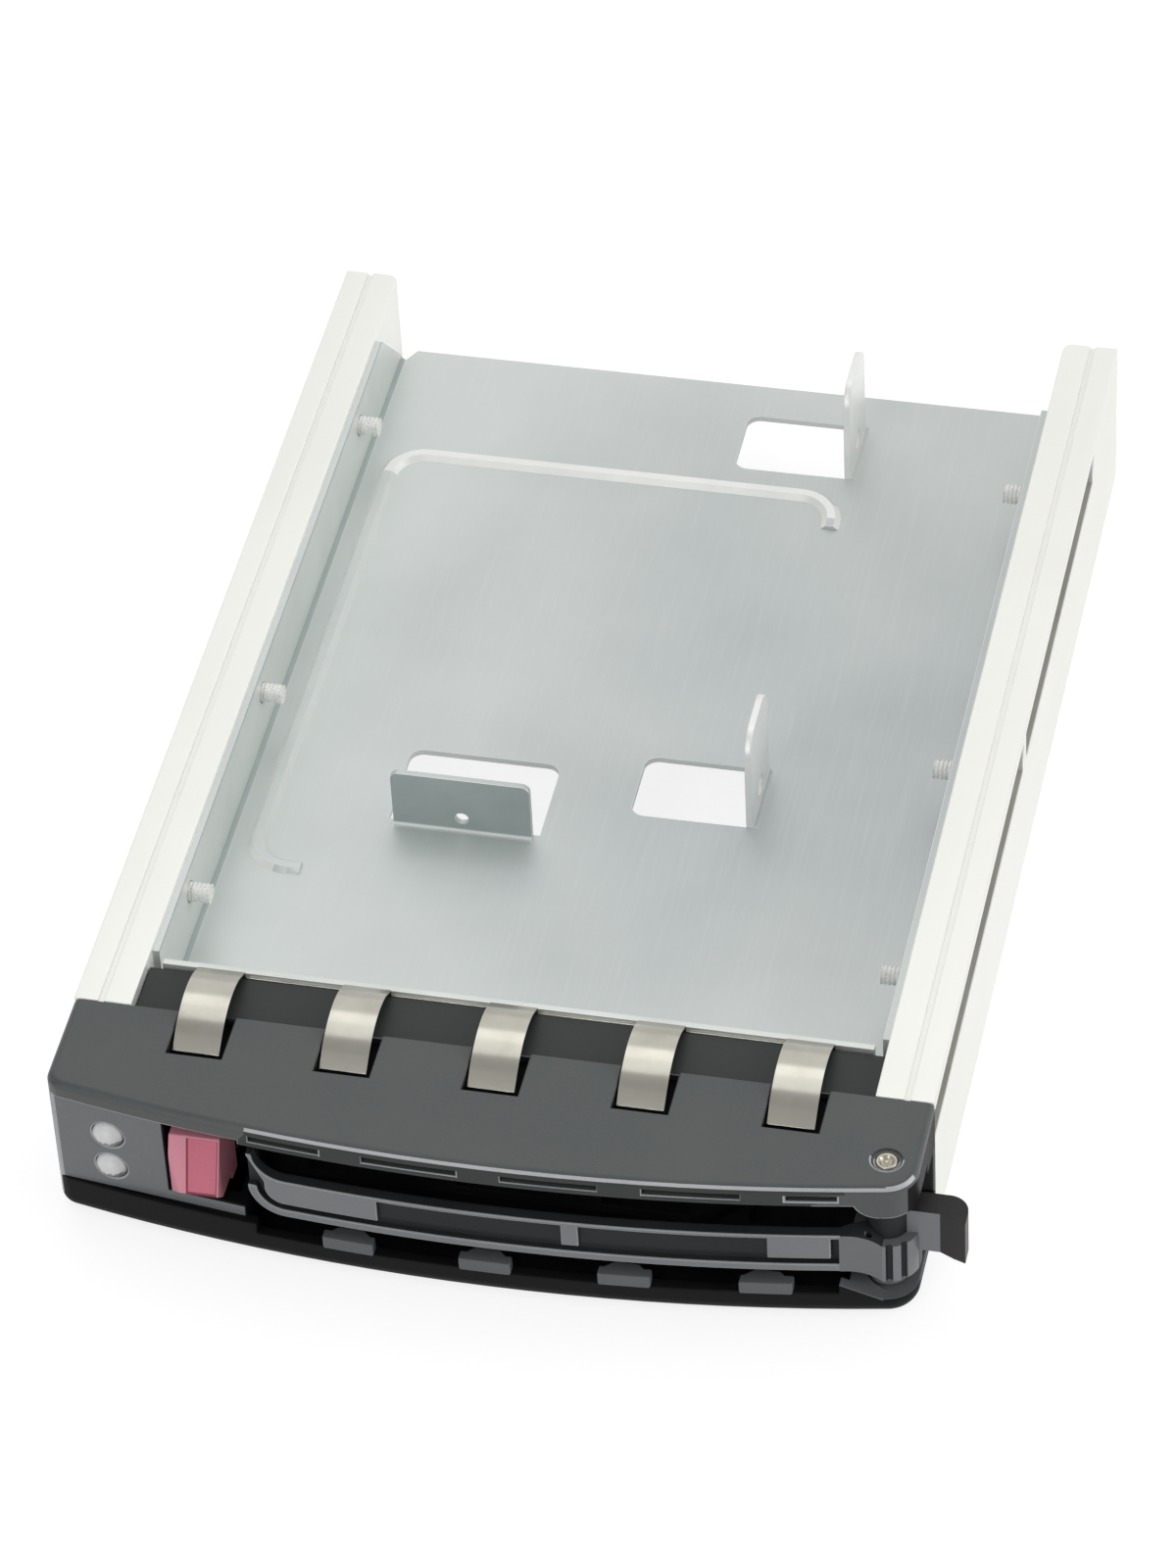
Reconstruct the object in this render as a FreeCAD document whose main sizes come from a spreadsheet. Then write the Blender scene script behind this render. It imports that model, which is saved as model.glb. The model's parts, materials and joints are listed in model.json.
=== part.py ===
import FreeCAD, Part
import math
import os
import Sketcher

# A hot-swap drive tray: bowed front bezel with lever and button, two side rails,
# and a folded pan that carries a smaller drive. Millimetres, +Z up, +Y to the rear.

SIZES = {
    # Tray and side rails
    "overall_width": 119.0,
    "tray_height": 25.0,
    "rail_width": 8.1,
    "rail_length": 159.2,
    "rail_web": 2.0,
    "rail_cap": 1.6,
    "rail_divider": 0.8,
    "rail_skin": 1.5,
    "guide_slot_height": 5.4,
    "guide_slot_run_out": 5.2,
    "guide_slot_bridge": 2.0,
    "guide_slot_bridge_place": 73.0,
    "rail_groove_place": 4.0,
    "rail_groove_width": 0.7,
    "rail_groove_depth": 0.4,
    "rail_end_round": 3.0,
    # Folded pan
    "sheet_gauge": 1.0,
    "bend_radius": 0.8,
    "floor_level": 12.0,
    "pan_front": 9.4,
    "pan_length": 146.6,
    "flange_drop": 0.6,
    "upstand_drop": 1.0,
    "flange_slant": 13.0,
    "flange_heel": 2.2,
    "corner_relief": 3.0,
    # Raised bead on the pan's floor
    "bead_width": 2.8,
    "bead_crown": 1.2,
    "bead_rise": 0.7,
    "bead_inset": 5.2,
    "bead_right": 21.6,
    "bead_front": 41.6,
    "bead_rear": 132.2,
    "bead_hook": 7.5,
    "bead_corner": 5.5,
    "bead_tail": 1.5,
    # Lanced tabs
    "side_tab_place": 21.8,
    "side_tab_middle": 66.4,
    "side_tab_spacing": 76.6,
    "side_tab_width": 12.2,
    "side_tab_height": 16.6,
    "side_tab_round": 3.5,
    "side_tab_hole_height": 3.0,
    "side_tab_hole_radius": 1.6,
    "side_window_depth": 16.9,
    "window_round": 2.0,
    "front_tab_place": 52.9,
    "front_tab_left": 27.9,
    "front_tab_width": 20.2,
    "front_tab_height": 9.8,
    "front_tab_round": 1.2,
    "front_tab_hole_radius": 1.0,
    "front_tab_hole_height": 2.4,
    "front_window_depth": 14.6,
    "front_window_margin": 0.9,
    # Screws through the rails
    "screw_front": 27.0,
    "screw_middle_step": 41.6,
    "screw_rear_step": 101.6,
    "screw_radius": 1.45,
    "screw_fit": 0.1,
    "screw_head_radius": 2.4,
    "screw_head_height": 1.7,
    "screw_reach": 3.0,
    "bezel_screw_place": 4.6,
    "bezel_screw_reach": 4.0,
    # Bezel moulding
    "bezel_side_depth": 15.8,
    "bezel_bow": 5.85,
    "bezel_left_round": 2.5,
    "bezel_right_round": 4.5,
    "bezel_foot_round": 2.6,
    "bezel_brow_round": 1.2,
    "plate_gauge": 1.6,
    "base_gauge": 2.0,
    "lip_gauge": 1.6,
    "upper_lip": 3.5,
    "lower_lip": 6.4,
    "cavity_left_inset": 27.7,
    "cavity_right_inset": 9.0,
    "cavity_rear": 6.0,
    "lip_slot_height": 1.0,
    "lip_notch_depth": 1.8,
    "lip_ramp": 5.6,
    "corner_floor": 3.5,
    "boss_sweep": 3.5,
    "boss_drop": 2.3,
    "tooth_first": 17.3,
    "tooth_pitch": 19.0,
    "tooth_width": 6.0,
    "tooth_front_width": 7.2,
    "tooth_rear_width": 3.4,
    "tooth_depth": 2.5,
    "ledge_depth": 9.1,
    "ledge_drop": 1.6,
    "ledge_gauge": 1.8,
    "lug_width": 5.2,
    "lug_height": 7.4,
    "rail_gap": 0.1,
    "vent_width": 12.0,
    "vent_low": 3.5,
    "vent_height": 8.0,
    "face_left_depth": 15.4,
    "face_right_depth": 18.9,
    "face_low": 6.4,
    "face_drop": 2.8,
    "face_wall": 2.4,
    "block_wall": 1.4,
    "hollow_low": 3.0,
    "hollow_drop": 3.5,
    # Lever and its pin
    "pivot_inset": 4.5,
    "pivot_depth": 11.2,
    "pin_radius": 1.5,
    "pin_press": 0.02,
    "pin_recess_radius": 2.1,
    "pin_recess_depth": 0.4,
    "pivot_clearance": 0.05,
    "lever_clearance": 0.4,
    "hub_radius": 4.5,
    "sleeve_radius": 3.0,
    "flute_radius": 0.5,
    "flute_step": 1.9,
    "lever_setback": 0.4,
    "lever_gauge": 1.8,
    "lever_low": 8.6,
    "lever_height": 6.8,
    "lever_flange": 1.3,
    "lever_flange_depth": 4.0,
    "lever_horn_width": 0.9,
    "lever_horn_height": 4.1,
    "lever_horn_sweep": 4.2,
    "lever_window_depth": 0.7,
    "lever_window_border": 0.7,
    "lever_window_place": 18.2,
    "lever_window_width": 25.2,
    "lever_window_step": 27.6,
    "lever_shoulder": 5.5,
    "lever_drop": 2.6,
    "lever_groove_height": 1.1,
    "lever_groove_depth": 1.0,
    "lever_end_round": 5.0,
    "claw_reach": 10.9,
    "claw_gauge": 2.8,
    "claw_drop": 2.6,
    "claw_low": 9.5,
    "claw_height": 7.4,
    "claw_room_rear": 1.0,
    "claw_room_left": 3.0,
    # Release button
    "button_inset": 17.3,
    "button_width": 8.6,
    "button_low": 9.0,
    "button_height": 11.4,
    "button_top_depth": 17.4,
    "button_chin_depth": 20.2,
    "button_chin_height": 1.7,
    "button_chin_cut": 1.8,
    "button_back_depth": 11.0,
    "button_facet": 1.6,
    "button_foot_depth": 2.6,
    "button_foot_drop": 2.8,
    "button_gap": 0.6,
    "button_stop_depth": 3.0,
    # Springs of bent strip
    "spring_gauge": 0.4,
    "spring_height": 4.0,
    "spring_level": 12.7,
    "button_spring_width": 4.6,
    "lever_spring_inset": 6.5,
    "lever_spring_foot": 6.0,
    "lever_spring_run": 10.0,
    "spring_gap": 0.3,
    # Light pipes
    "lens_inset": 8.4,
    "lens_upper": 16.4,
    "lens_lower": 10.4,
    "lens_radius": 2.2,
    "lens_fit": 0.1,
    "lens_front_depth": 17.2,
    "lens_length": 3.4,
    "lens_bevel": 0.7,
    "light_pipe_width": 2.4,
    "light_pipe_drop": 0.7,
    "light_pipe_inset": 4.1,
    "light_pipe_bend_front": 9.0,
    "light_pipe_bend_rear": 3.0,
    "light_pipe_end_gap": 1.0,
    # Shielding fingers
    "finger_width": 6.6,
    "finger_pitch": 20.5,
    "finger_gauge": 0.3,
    "finger_strip_low": 14.6,
    "finger_rise": 1.2,
    "finger_bend": 0.8,
    "finger_ramp": 1.0,
    "finger_arch": 11.0,
    "finger_tail": 2.4,
    "finger_margin": 1.4,
    "finger_notch_depth": 8.0,
    "finger_notch_low": 2.8,
}

FINGER_COUNT = 5
TOOTH_COUNT = 4
RISE_ANGLE = math.radians(30)
FALL_ANGLE = math.radians(35)
LEFT, RIGHT = -1, 1

# Planes of a body: the role of its origin plane and the sign of that plane's normal
PLANES = {"XY": ("XY_Plane", 1), "XZ": ("XZ_Plane", -1), "YZ": ("YZ_Plane", 1)}
# Pads start off along the normal and pockets against it
PAD_TURNED = {"XY": False, "XZ": True, "YZ": False}
POCKET_TURNED = {"XY": True, "XZ": False, "YZ": True}

doc = FreeCAD.newDocument("drive_tray")
sheet = doc.addObject("Spreadsheet::Sheet", "Sizes")
for row, (alias, number) in enumerate(SIZES.items(), start=1):
    sheet.set(f"A{row}", alias.replace("_", " "))
    sheet.set(f"B{row}", str(number))
    sheet.setAlias(f"B{row}", alias)
doc.recompute()


class Size:
    """A length as a number, with the sheet expression that it follows."""

    def __init__(self, number, text):
        self.number = number
        self.text = text

    def __add__(self, other):
        other = as_size(other)
        return Size(self.number + other.number, f"({self.text} + {other.text})")

    def __sub__(self, other):
        other = as_size(other)
        return Size(self.number - other.number, f"({self.text} - {other.text})")

    def __mul__(self, other):
        other = as_size(other)
        return Size(self.number * other.number, f"({self.text} * {other.text})")

    def __truediv__(self, other):
        other = as_size(other)
        return Size(self.number / other.number, f"({self.text} / {other.text})")

    def __neg__(self):
        return Size(-self.number, f"(0 - {self.text})")


def as_size(value):
    """Give a plain number the form of a size."""
    return value if isinstance(value, Size) else Size(float(value), f"({float(value)!r})")


def size(alias):
    """Look up a driving dimension in the sheet."""
    return Size(float(sheet.get(alias)), f"Sizes.{alias}")


def root(value):
    """Square root of a size's number."""
    return Size(math.sqrt(value.number), f"sqrt({value.text})")


class Arc:
    """Marks the step between two corners of a loop as an arc: turn 1 bends left, -1 right."""

    def __init__(self, radius, turn):
        self.radius = as_size(radius)
        self.turn = turn


class Circle:
    """A whole circle as a loop."""

    def __init__(self, x, y, radius):
        self.x = as_size(x)
        self.y = as_size(y)
        self.radius = as_size(radius)


def bind(thing, path, value):
    """Tie a property to its sheet expression."""
    thing.setExpression(path, as_size(value).text)


def pin_point(sketch, curve, end, x, y):
    """Fix a curve's end by its distances from the sketch's origin."""
    for kind, value in (("DistanceX", x), ("DistanceY", y)):
        constraint = Sketcher.Constraint(kind, -1, 1, curve, end, value.number)
        bind(sketch, f"Constraints[{sketch.addConstraint(constraint)}]", value)


def set_radius(sketch, curve, radius):
    """Fix a curve's radius."""
    index = sketch.addConstraint(Sketcher.Constraint("Radius", curve, radius.number))
    bind(sketch, f"Constraints[{index}]", radius)


def arc_between(start, end, arc):
    """Make the shorter arc of a given radius from one point to another."""
    chord = end - start
    half = chord.Length / 2
    radius = arc.radius.number
    aside = FreeCAD.Vector(-chord.y, chord.x, 0).normalize() * arc.turn
    centre = (start + end) / 2 + aside * math.sqrt(max(radius**2 - half**2, 0.0))
    first, last = (start, end) if arc.turn > 0 else (end, start)
    angles = [math.atan2(point.y - centre.y, point.x - centre.x) for point in (first, last)]
    return Part.ArcOfCircle(Part.Circle(centre, FreeCAD.Vector(0, 0, 1), radius), *angles)


def draw_path(sketch, steps, closed):
    """Draw lines and arcs through a list of corners, each fixed by its own distances."""
    corners = [(as_size(step[0]), as_size(step[1])) for step in steps if not isinstance(step, Arc)]
    arcs = {}
    for index, step in enumerate(steps):
        if isinstance(step, Arc):
            arcs[index - len(arcs) - 1] = step
    count = len(corners)
    joints = []
    for index in range(count if closed else count - 1):
        x, y = corners[index]
        next_x, next_y = corners[(index + 1) % count]
        start = FreeCAD.Vector(x.number, y.number, 0)
        end = FreeCAD.Vector(next_x.number, next_y.number, 0)
        arc = arcs.get(index)
        if arc is None:
            curve = sketch.addGeometry(Part.LineSegment(start, end))
        else:
            curve = sketch.addGeometry(arc_between(start, end, arc))
            set_radius(sketch, curve, arc.radius)
        joints.append((curve, 1, 2) if arc is None or arc.turn > 0 else (curve, 2, 1))
        pin_point(sketch, curve, joints[-1][1], x, y)
    if closed:
        pairs = zip(joints, joints[1:] + joints[:1])
    else:
        pairs = zip(joints, joints[1:])
        pin_point(sketch, joints[-1][0], joints[-1][2], *corners[-1])
    for before, after in pairs:
        sketch.addConstraint(Sketcher.Constraint("Coincident", before[0], before[2], after[0], after[1]))


def draw(body, name, plane, loops, level, closed=True):
    """Sketch loops on one of the body's planes, moved to a level along its axis."""
    role, normal = PLANES[plane]
    sketch = body.newObject("Sketcher::SketchObject", name + "_sketch")
    support = next(item for item in body.Origin.OriginFeatures if item.Role == role)
    sketch.AttachmentSupport = [(support, "")]
    sketch.MapMode = "FlatFace"
    bind(sketch, "AttachmentOffset.Base.z", as_size(level) * normal)
    for loop in loops:
        if isinstance(loop, Circle):
            centre = FreeCAD.Vector(loop.x.number, loop.y.number, 0)
            circle = Part.Circle(centre, FreeCAD.Vector(0, 0, 1), loop.radius.number)
            curve = sketch.addGeometry(circle)
            pin_point(sketch, curve, 3, loop.x, loop.y)
            set_radius(sketch, curve, loop.radius)
        else:
            draw_path(sketch, loop, closed)
    return sketch


def new_body(label):
    """Start a sub-part."""
    body = doc.addObject("PartDesign::Body", label)
    body.Label = label
    return body


def add(body, name, plane, loops, low, high):
    """Pad loops from one level to another."""
    sketch = draw(body, name, plane, loops, low)
    pad = body.newObject("PartDesign::Pad", name)
    pad.Profile = sketch
    pad.Reversed = PAD_TURNED[plane]
    pad.Length = as_size(high).number - as_size(low).number
    bind(pad, "Length", as_size(high) - low)
    doc.recompute()
    return pad


def cut(body, name, plane, loops, low, high):
    """Pocket loops from one level to another, and see that something was cut."""
    before = body.Shape.Volume
    sketch = draw(body, name, plane, loops, low)
    pocket = body.newObject("PartDesign::Pocket", name)
    pocket.Profile = sketch
    pocket.Reversed = POCKET_TURNED[plane]
    pocket.Length = as_size(high).number - as_size(low).number
    bind(pocket, "Length", as_size(high) - low)
    doc.recompute()
    if body.Shape.Volume >= before:
        raise RuntimeError(f"{body.Label}: {name} cuts nothing")
    return pocket


def break_edges(body, name, kind, length, wanted):
    """Round or chamfer the edges that a test picks: kind is the feature and its driving property."""
    chosen = [f"Edge{i}" for i, edge in enumerate(body.Shape.Edges, start=1) if wanted(edge)]
    if not chosen:
        raise RuntimeError(f"{body.Label}: {name} finds no edge")
    base = body.Tip
    feature, driver = kind
    broken = body.newObject(f"PartDesign::{feature}", name)
    broken.Base = (base, chosen)
    setattr(broken, driver, length.number)
    bind(broken, driver, length)
    doc.recompute()
    return broken


def round_edges(body, name, radius, wanted):
    """Fillet the edges that a test picks."""
    return break_edges(body, name, ("Fillet", "Radius"), radius, wanted)


def bevel_edges(body, name, length, wanted):
    """Chamfer the edges that a test picks."""
    return break_edges(body, name, ("Chamfer", "Size"), length, wanted)


def sweep(body, name, section, path):
    """Run a section along a path."""
    pipe = body.newObject("PartDesign::AdditivePipe", name)
    pipe.Profile = section
    pipe.Spine = path
    doc.recompute()
    return pipe


def rectangle(low_x, low_y, high_x, high_y):
    """Corners of an upright rectangle."""
    return [(low_x, low_y), (high_x, low_y), (high_x, high_y), (low_x, high_y)]


def near(number, value, slack=0.01):
    """True where two lengths agree."""
    return abs(number - as_size(value).number) < slack


def at_level(edge, axis, value):
    """True for an edge that lies in the plane where a coordinate has one value."""
    box = edge.BoundBox
    low, high = {"X": (box.XMin, box.XMax), "Y": (box.YMin, box.YMax), "Z": (box.ZMin, box.ZMax)}[axis]
    return near(low, value) and near(high, value)


# Shared places
half_width = size("overall_width") / 2
tray_top = size("tray_height")
rail_inner = half_width - size("rail_width")
web_face = rail_inner + size("rail_web")
slot_top = tray_top - size("rail_cap")
slot_low = slot_top - size("guide_slot_height")
screw_level = (slot_top + slot_low) / 2
chamber_top = slot_low - size("rail_divider")
floor_top = size("floor_level") + size("sheet_gauge")
pan_rear = size("pan_front") + size("pan_length")
flange_inner = rail_inner - size("sheet_gauge")
screw_places = [
    size("screw_front"),
    size("screw_front") + size("screw_middle_step"),
    size("screw_front") + size("screw_rear_step"),
]
screw_hole = size("screw_radius") + size("screw_fit")
pivot_x = half_width - size("pivot_inset")
pivot_y = -size("pivot_depth")
lip_low = tray_top - size("upper_lip")
boss_low = lip_low - size("boss_drop")
cavity_left = size("cavity_left_inset") - half_width
cavity_right = half_width - size("cavity_right_inset")
button_left = size("button_inset") - half_width
lens_x = size("lens_inset") - half_width
ledge_top = tray_top - size("ledge_drop")
far_front = -size("bezel_side_depth") * 3
FAR = 1.0
bow_radius = (half_width * half_width + size("bezel_bow") * size("bezel_bow")) / (size("bezel_bow") * 2)
bow_centre = bow_radius - size("bezel_side_depth") - size("bezel_bow")


def bow(x, inset):
    """Depth of the bowed front at a place across, moved in by an inset."""
    radius = bow_radius - inset
    return bow_centre - root(radius * radius - x * x)


def bow_band(left, right, outer, inner):
    """Loop between two insets of the bowed front."""
    return [
        (left, bow(left, outer)), Arc(bow_radius - outer, 1), (right, bow(right, outer)),
        (right, bow(right, inner)), Arc(bow_radius - inner, -1), (left, bow(left, inner)),
    ]


def make_rail(label, side):
    """Extruded side rail: guide slot outside, light pipe chamber below it, groove on top."""
    body = new_body(label)
    outer = half_width * side
    inner = rail_inner * side
    web = web_face * side
    chamber_outer = (half_width - size("rail_skin")) * side
    section = rectangle(inner, 0.0, outer, tray_top)
    chamber = rectangle(web, size("rail_skin"), chamber_outer, chamber_top)
    add(body, label + "_bar", "XZ", [section, chamber], 0.0, size("rail_length"))
    groove_near = (rail_inner + size("rail_groove_place")) * side
    groove_far = (rail_inner + size("rail_groove_place") + size("rail_groove_width")) * side
    groove = rectangle(groove_near, tray_top - size("rail_groove_depth"), groove_far, tray_top + FAR)
    cut(body, label + "_groove", "XZ", [groove], 0.0, size("rail_length"))
    bridge = size("guide_slot_bridge_place")
    bridge_end = bridge + size("guide_slot_bridge")
    slot_end = screw_places[-1] + size("screw_head_radius") + size("guide_slot_run_out")
    slots = [
        rectangle(-FAR, slot_low, bridge, slot_top),
        rectangle(bridge_end, slot_low, slot_end, slot_top),
    ]
    ends = sorted((web, (half_width + FAR) * side), key=lambda place: place.number)
    cut(body, label + "_guide_slot", "YZ", slots, *ends)
    holes = [Circle(place, screw_level, screw_hole) for place in screw_places]
    holes.append(Circle(size("bezel_screw_place"), screw_level, screw_hole))
    ends = sorted(((rail_inner - FAR) * side, (web_face + FAR) * side), key=lambda place: place.number)
    cut(body, label + "_screw_holes", "YZ", holes, *ends)

    def rear_inner_corner(edge):
        box = edge.BoundBox
        return at_level(edge, "X", inner) and at_level(edge, "Y", size("rail_length")) and box.ZLength > 1

    round_edges(body, label + "_end_round", size("rail_end_round") / 2, rear_inner_corner)
    return body


def make_pan():
    """Folded sheet pan: floor, side flanges, front upstand, bead, windows and lanced tabs."""
    body = new_body("adapter_pan")
    gauge = size("sheet_gauge")
    bend = size("bend_radius")
    outer_bend = bend + gauge
    low = size("floor_level")
    flange_top = tray_top - size("flange_drop")
    upstand_top = tray_top - size("upstand_drop")
    front = size("pan_front")
    fold = rail_inner - outer_bend
    channel = [
        (-fold, low), (fold, low), Arc(outer_bend, 1), (rail_inner, low + outer_bend),
        (rail_inner, flange_top), (flange_inner, flange_top), (flange_inner, low + outer_bend),
        Arc(bend, -1), (fold, floor_top), (-fold, floor_top), Arc(bend, -1),
        (-flange_inner, low + outer_bend), (-flange_inner, flange_top), (-rail_inner, flange_top),
        (-rail_inner, low + outer_bend), Arc(outer_bend, 1),
    ]
    add(body, "pan_channel", "XZ", [channel], front + outer_bend, pan_rear)
    upstand = [
        (front + outer_bend, low), (front + outer_bend, floor_top), Arc(bend, -1),
        (front + gauge, low + outer_bend), (front + gauge, upstand_top), (front, upstand_top),
        (front, low + outer_bend), Arc(outer_bend, 1),
    ]
    add(body, "pan_upstand", "YZ", [upstand], -fold, fold)
    for side, name in ((LEFT, "left"), (RIGHT, "right")):
        slant = [
            (pan_rear - size("flange_slant"), flange_top + FAR), (pan_rear + FAR, flange_top + FAR),
            (pan_rear + FAR, low + outer_bend), (pan_rear - size("flange_heel"), low + outer_bend),
        ]
        ends = sorted(((flange_inner - bend) * side, (rail_inner + FAR) * side), key=lambda p: p.number)
        cut(body, f"pan_{name}_slant", "YZ", [slant], *ends)
        relief = [
            ((rail_inner + FAR) * side, pan_rear - size("flange_heel")),
            ((rail_inner + FAR) * side, pan_rear + FAR),
            ((rail_inner - size("corner_relief")) * side, pan_rear + FAR),
            ((rail_inner - size("corner_relief")) * side, pan_rear),
            ((rail_inner - outer_bend) * side, pan_rear - size("flange_heel")),
        ]
        cut(body, f"pan_{name}_relief", "XY", [relief], low - FAR, low + outer_bend + FAR)
    holes = [Circle(place, screw_level, screw_hole) for place in screw_places]
    cut(body, "pan_left_holes", "YZ", holes, -(rail_inner + FAR), -(flange_inner - FAR))
    cut(body, "pan_right_holes", "YZ", holes, flange_inner - FAR, rail_inner + FAR)
    add_bead(body)
    add_side_tabs(body)
    add_front_tab(body)
    return body


def add_bead(body):
    """Raised bead, an open C that stiffens the floor under the drive."""
    left, right = size("bead_inset") - rail_inner, size("bead_right")
    front, rear = size("bead_front"), size("bead_rear")
    turn = size("bead_corner")
    hook = left + size("bead_hook")
    route = [
        (hook, front), (left + turn, front), Arc(turn, -1), (left, front + turn), (left, rear - turn),
        Arc(turn, -1), (left + turn, rear), (right - turn, rear), Arc(turn, -1), (right, rear - turn),
        (right, rear - turn - size("bead_tail")),
    ]
    path = draw(body, "bead_route", "XY", [route], floor_top, closed=False)
    reach = size("bead_width") / 2
    crown = size("bead_crown") / 2
    sunk = floor_top - size("sheet_gauge") / 4
    crest = floor_top + size("bead_rise")
    ridge = [
        (front - reach, sunk), (front + reach, sunk), (front + reach, floor_top), (front + crown, crest),
        (front - crown, crest), (front - reach, floor_top),
    ]
    section = draw(body, "bead_ridge", "YZ", [ridge], hook)
    sweep(body, "bead", section, path)


def add_side_tabs(body):
    """Two tall tabs lanced up beside their windows, with the drive's side screw holes."""
    gauge = size("sheet_gauge")
    edge = size("side_tab_place")
    half = size("side_tab_width") / 2
    crown = size("side_tab_round")
    corner = size("window_round")
    top = floor_top + size("side_tab_height")
    window_left = edge - size("side_window_depth")
    places = [size("side_tab_middle"), size("side_tab_middle") + size("side_tab_spacing")]
    windows = [
        [
            (window_left + corner, place - half), (edge, place - half), (edge, place + half),
            (window_left + corner, place + half), Arc(corner, 1), (window_left, place + half - corner),
            (window_left, place - half + corner), Arc(corner, 1),
        ]
        for place in places
    ]
    cut(body, "side_windows", "XY", windows, size("floor_level") - FAR, floor_top + FAR)
    tabs = [
        [
            (place - half, floor_top - gauge / 2), (place + half, floor_top - gauge / 2),
            (place + half, top - crown), Arc(crown, 1), (place + half - crown, top),
            (place - half + crown, top), Arc(crown, 1), (place - half, top - crown),
        ]
        for place in places
    ]
    add(body, "side_tabs", "YZ", tabs, edge, edge + gauge)
    holes = [
        Circle(place, floor_top + size("side_tab_hole_height"), size("side_tab_hole_radius"))
        for place in places
    ]
    cut(body, "side_tab_holes", "YZ", holes, edge - FAR, edge + gauge + FAR)

    def bend_line(line):
        return at_level(line, "X", edge + gauge) and at_level(line, "Z", floor_top)

    round_edges(body, "side_tab_bends", size("bend_radius"), bend_line)


def add_front_tab(body):
    """Low tab lanced up in front of its window, the drive's front stop."""
    gauge = size("sheet_gauge")
    front = size("front_tab_place")
    left = -size("front_tab_left")
    right = left + size("front_tab_width")
    margin = size("front_window_margin")
    corner = size("window_round")
    rear = front + gauge + size("front_window_depth")
    window = [
        (left - margin, front + gauge), (right + margin, front + gauge), (right + margin, rear - corner),
        Arc(corner, 1), (right + margin - corner, rear), (left - margin + corner, rear),
        Arc(corner, 1), (left - margin, rear - corner),
    ]
    cut(body, "front_window", "XY", [window], size("floor_level") - FAR, floor_top + FAR)
    top = floor_top + size("front_tab_height")
    crown = size("front_tab_round")
    tab = [
        (left, floor_top - gauge / 2), (right, floor_top - gauge / 2), (right, top - crown),
        Arc(crown, 1), (right - crown, top), (left + crown, top), Arc(crown, 1), (left, top - crown),
    ]
    add(body, "front_tab", "XZ", [tab], front, front + gauge)
    middle = left + size("front_tab_width") / 2
    hole = Circle(middle, floor_top + size("front_tab_hole_height"), size("front_tab_hole_radius"))
    cut(body, "front_tab_hole", "XZ", [hole], front - FAR, front + gauge + FAR)

    def bend_line(line):
        return at_level(line, "Y", front) and at_level(line, "Z", floor_top)

    round_edges(body, "front_tab_bend", size("bend_radius"), bend_line)


def finger_places():
    """Places across of the shielding fingers, even about the middle."""
    return [size("finger_pitch") * (index - (FINGER_COUNT - 1) / 2) for index in range(FINGER_COUNT)]


def tooth_places():
    """Places across of the teeth that part the slots of the bezel's lips."""
    return [size("tooth_pitch") * index - size("tooth_first") for index in range(TOOTH_COUNT)]


def lip_gaps(tooth_width):
    """Stretches across between teeth of a given width."""
    edges = [cavity_left + size("lip_gauge")]
    for tooth in tooth_places():
        edges += [tooth - tooth_width / 2, tooth + tooth_width / 2]
    edges.append(pivot_x - size("lip_ramp"))
    return list(zip(edges[0::2], edges[1::2]))


def make_bezel():
    """Moulded bezel: bowed block, lever cavity between two lips, button block and rear ledge."""
    body = new_body("bezel")
    side_depth = size("bezel_side_depth")
    outline = [
        (-half_width, 0.0), (-half_width, -side_depth), Arc(bow_radius, 1), (half_width, -side_depth),
        (half_width, 0.0),
    ]
    add(body, "bezel_block", "XY", [outline], 0.0, tray_top)
    for side, name in ((LEFT, "left"), (RIGHT, "right")):
        def front_corner(edge, side=side):
            return at_level(edge, "X", half_width * side) and at_level(edge, "Y", -side_depth)

        round_edges(body, f"bezel_{name}_corner", size(f"bezel_{name}_round"), front_corner)
    round_edges(body, "bezel_foot", size("bezel_foot_round"),
                lambda edge: at_level(edge, "Z", 0.0) and edge.BoundBox.YMin < -side_depth.number)
    round_edges(body, "bezel_brow", size("bezel_brow_round"),
                lambda edge: at_level(edge, "Z", tray_top) and edge.BoundBox.YMin < -side_depth.number)
    add_ledge(body)
    cut_cavity(body)
    cut_button_block(body)
    notch_low = tray_top - size("finger_notch_low")
    reach = size("finger_width") / 2 + size("finger_margin")
    notches = [
        rectangle(place - reach, -size("finger_notch_depth"), place + reach, FAR)
        for place in finger_places()
    ]
    cut(body, "finger_notches", "XY", notches, notch_low, tray_top + FAR)
    pin_hole = Circle(pivot_x, pivot_y, size("pin_radius") + size("pin_press"))
    cut(body, "pin_hole", "XY", [pin_hole], -FAR, tray_top + FAR)
    recess = Circle(pivot_x, pivot_y, size("pin_recess_radius"))
    cut(body, "pin_recess", "XY", [recess], tray_top - size("pin_recess_depth"), tray_top + FAR)
    return body


def add_ledge(body):
    """Ledge between the rails, with a lug at each end for the screws through the rails."""
    reach = rail_inner - size("rail_gap")
    lug_low = ledge_top - size("lug_height")
    ledge = rectangle(-reach, -FAR, reach, size("ledge_depth"))
    add(body, "ledge", "XY", [ledge], lug_low, ledge_top)
    inside = reach - size("lug_width")
    under = rectangle(-inside, 0.0, inside, size("ledge_depth") + FAR)
    cut(body, "ledge_underside", "XY", [under], lug_low - FAR, ledge_top - size("ledge_gauge"))
    hole = Circle(size("bezel_screw_place"), screw_level, screw_hole)
    cut(body, "left_lug_hole", "YZ", [hole], -(reach + FAR), -(inside - FAR))
    cut(body, "right_lug_hole", "YZ", [hole], inside - FAR, reach + FAR)


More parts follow.
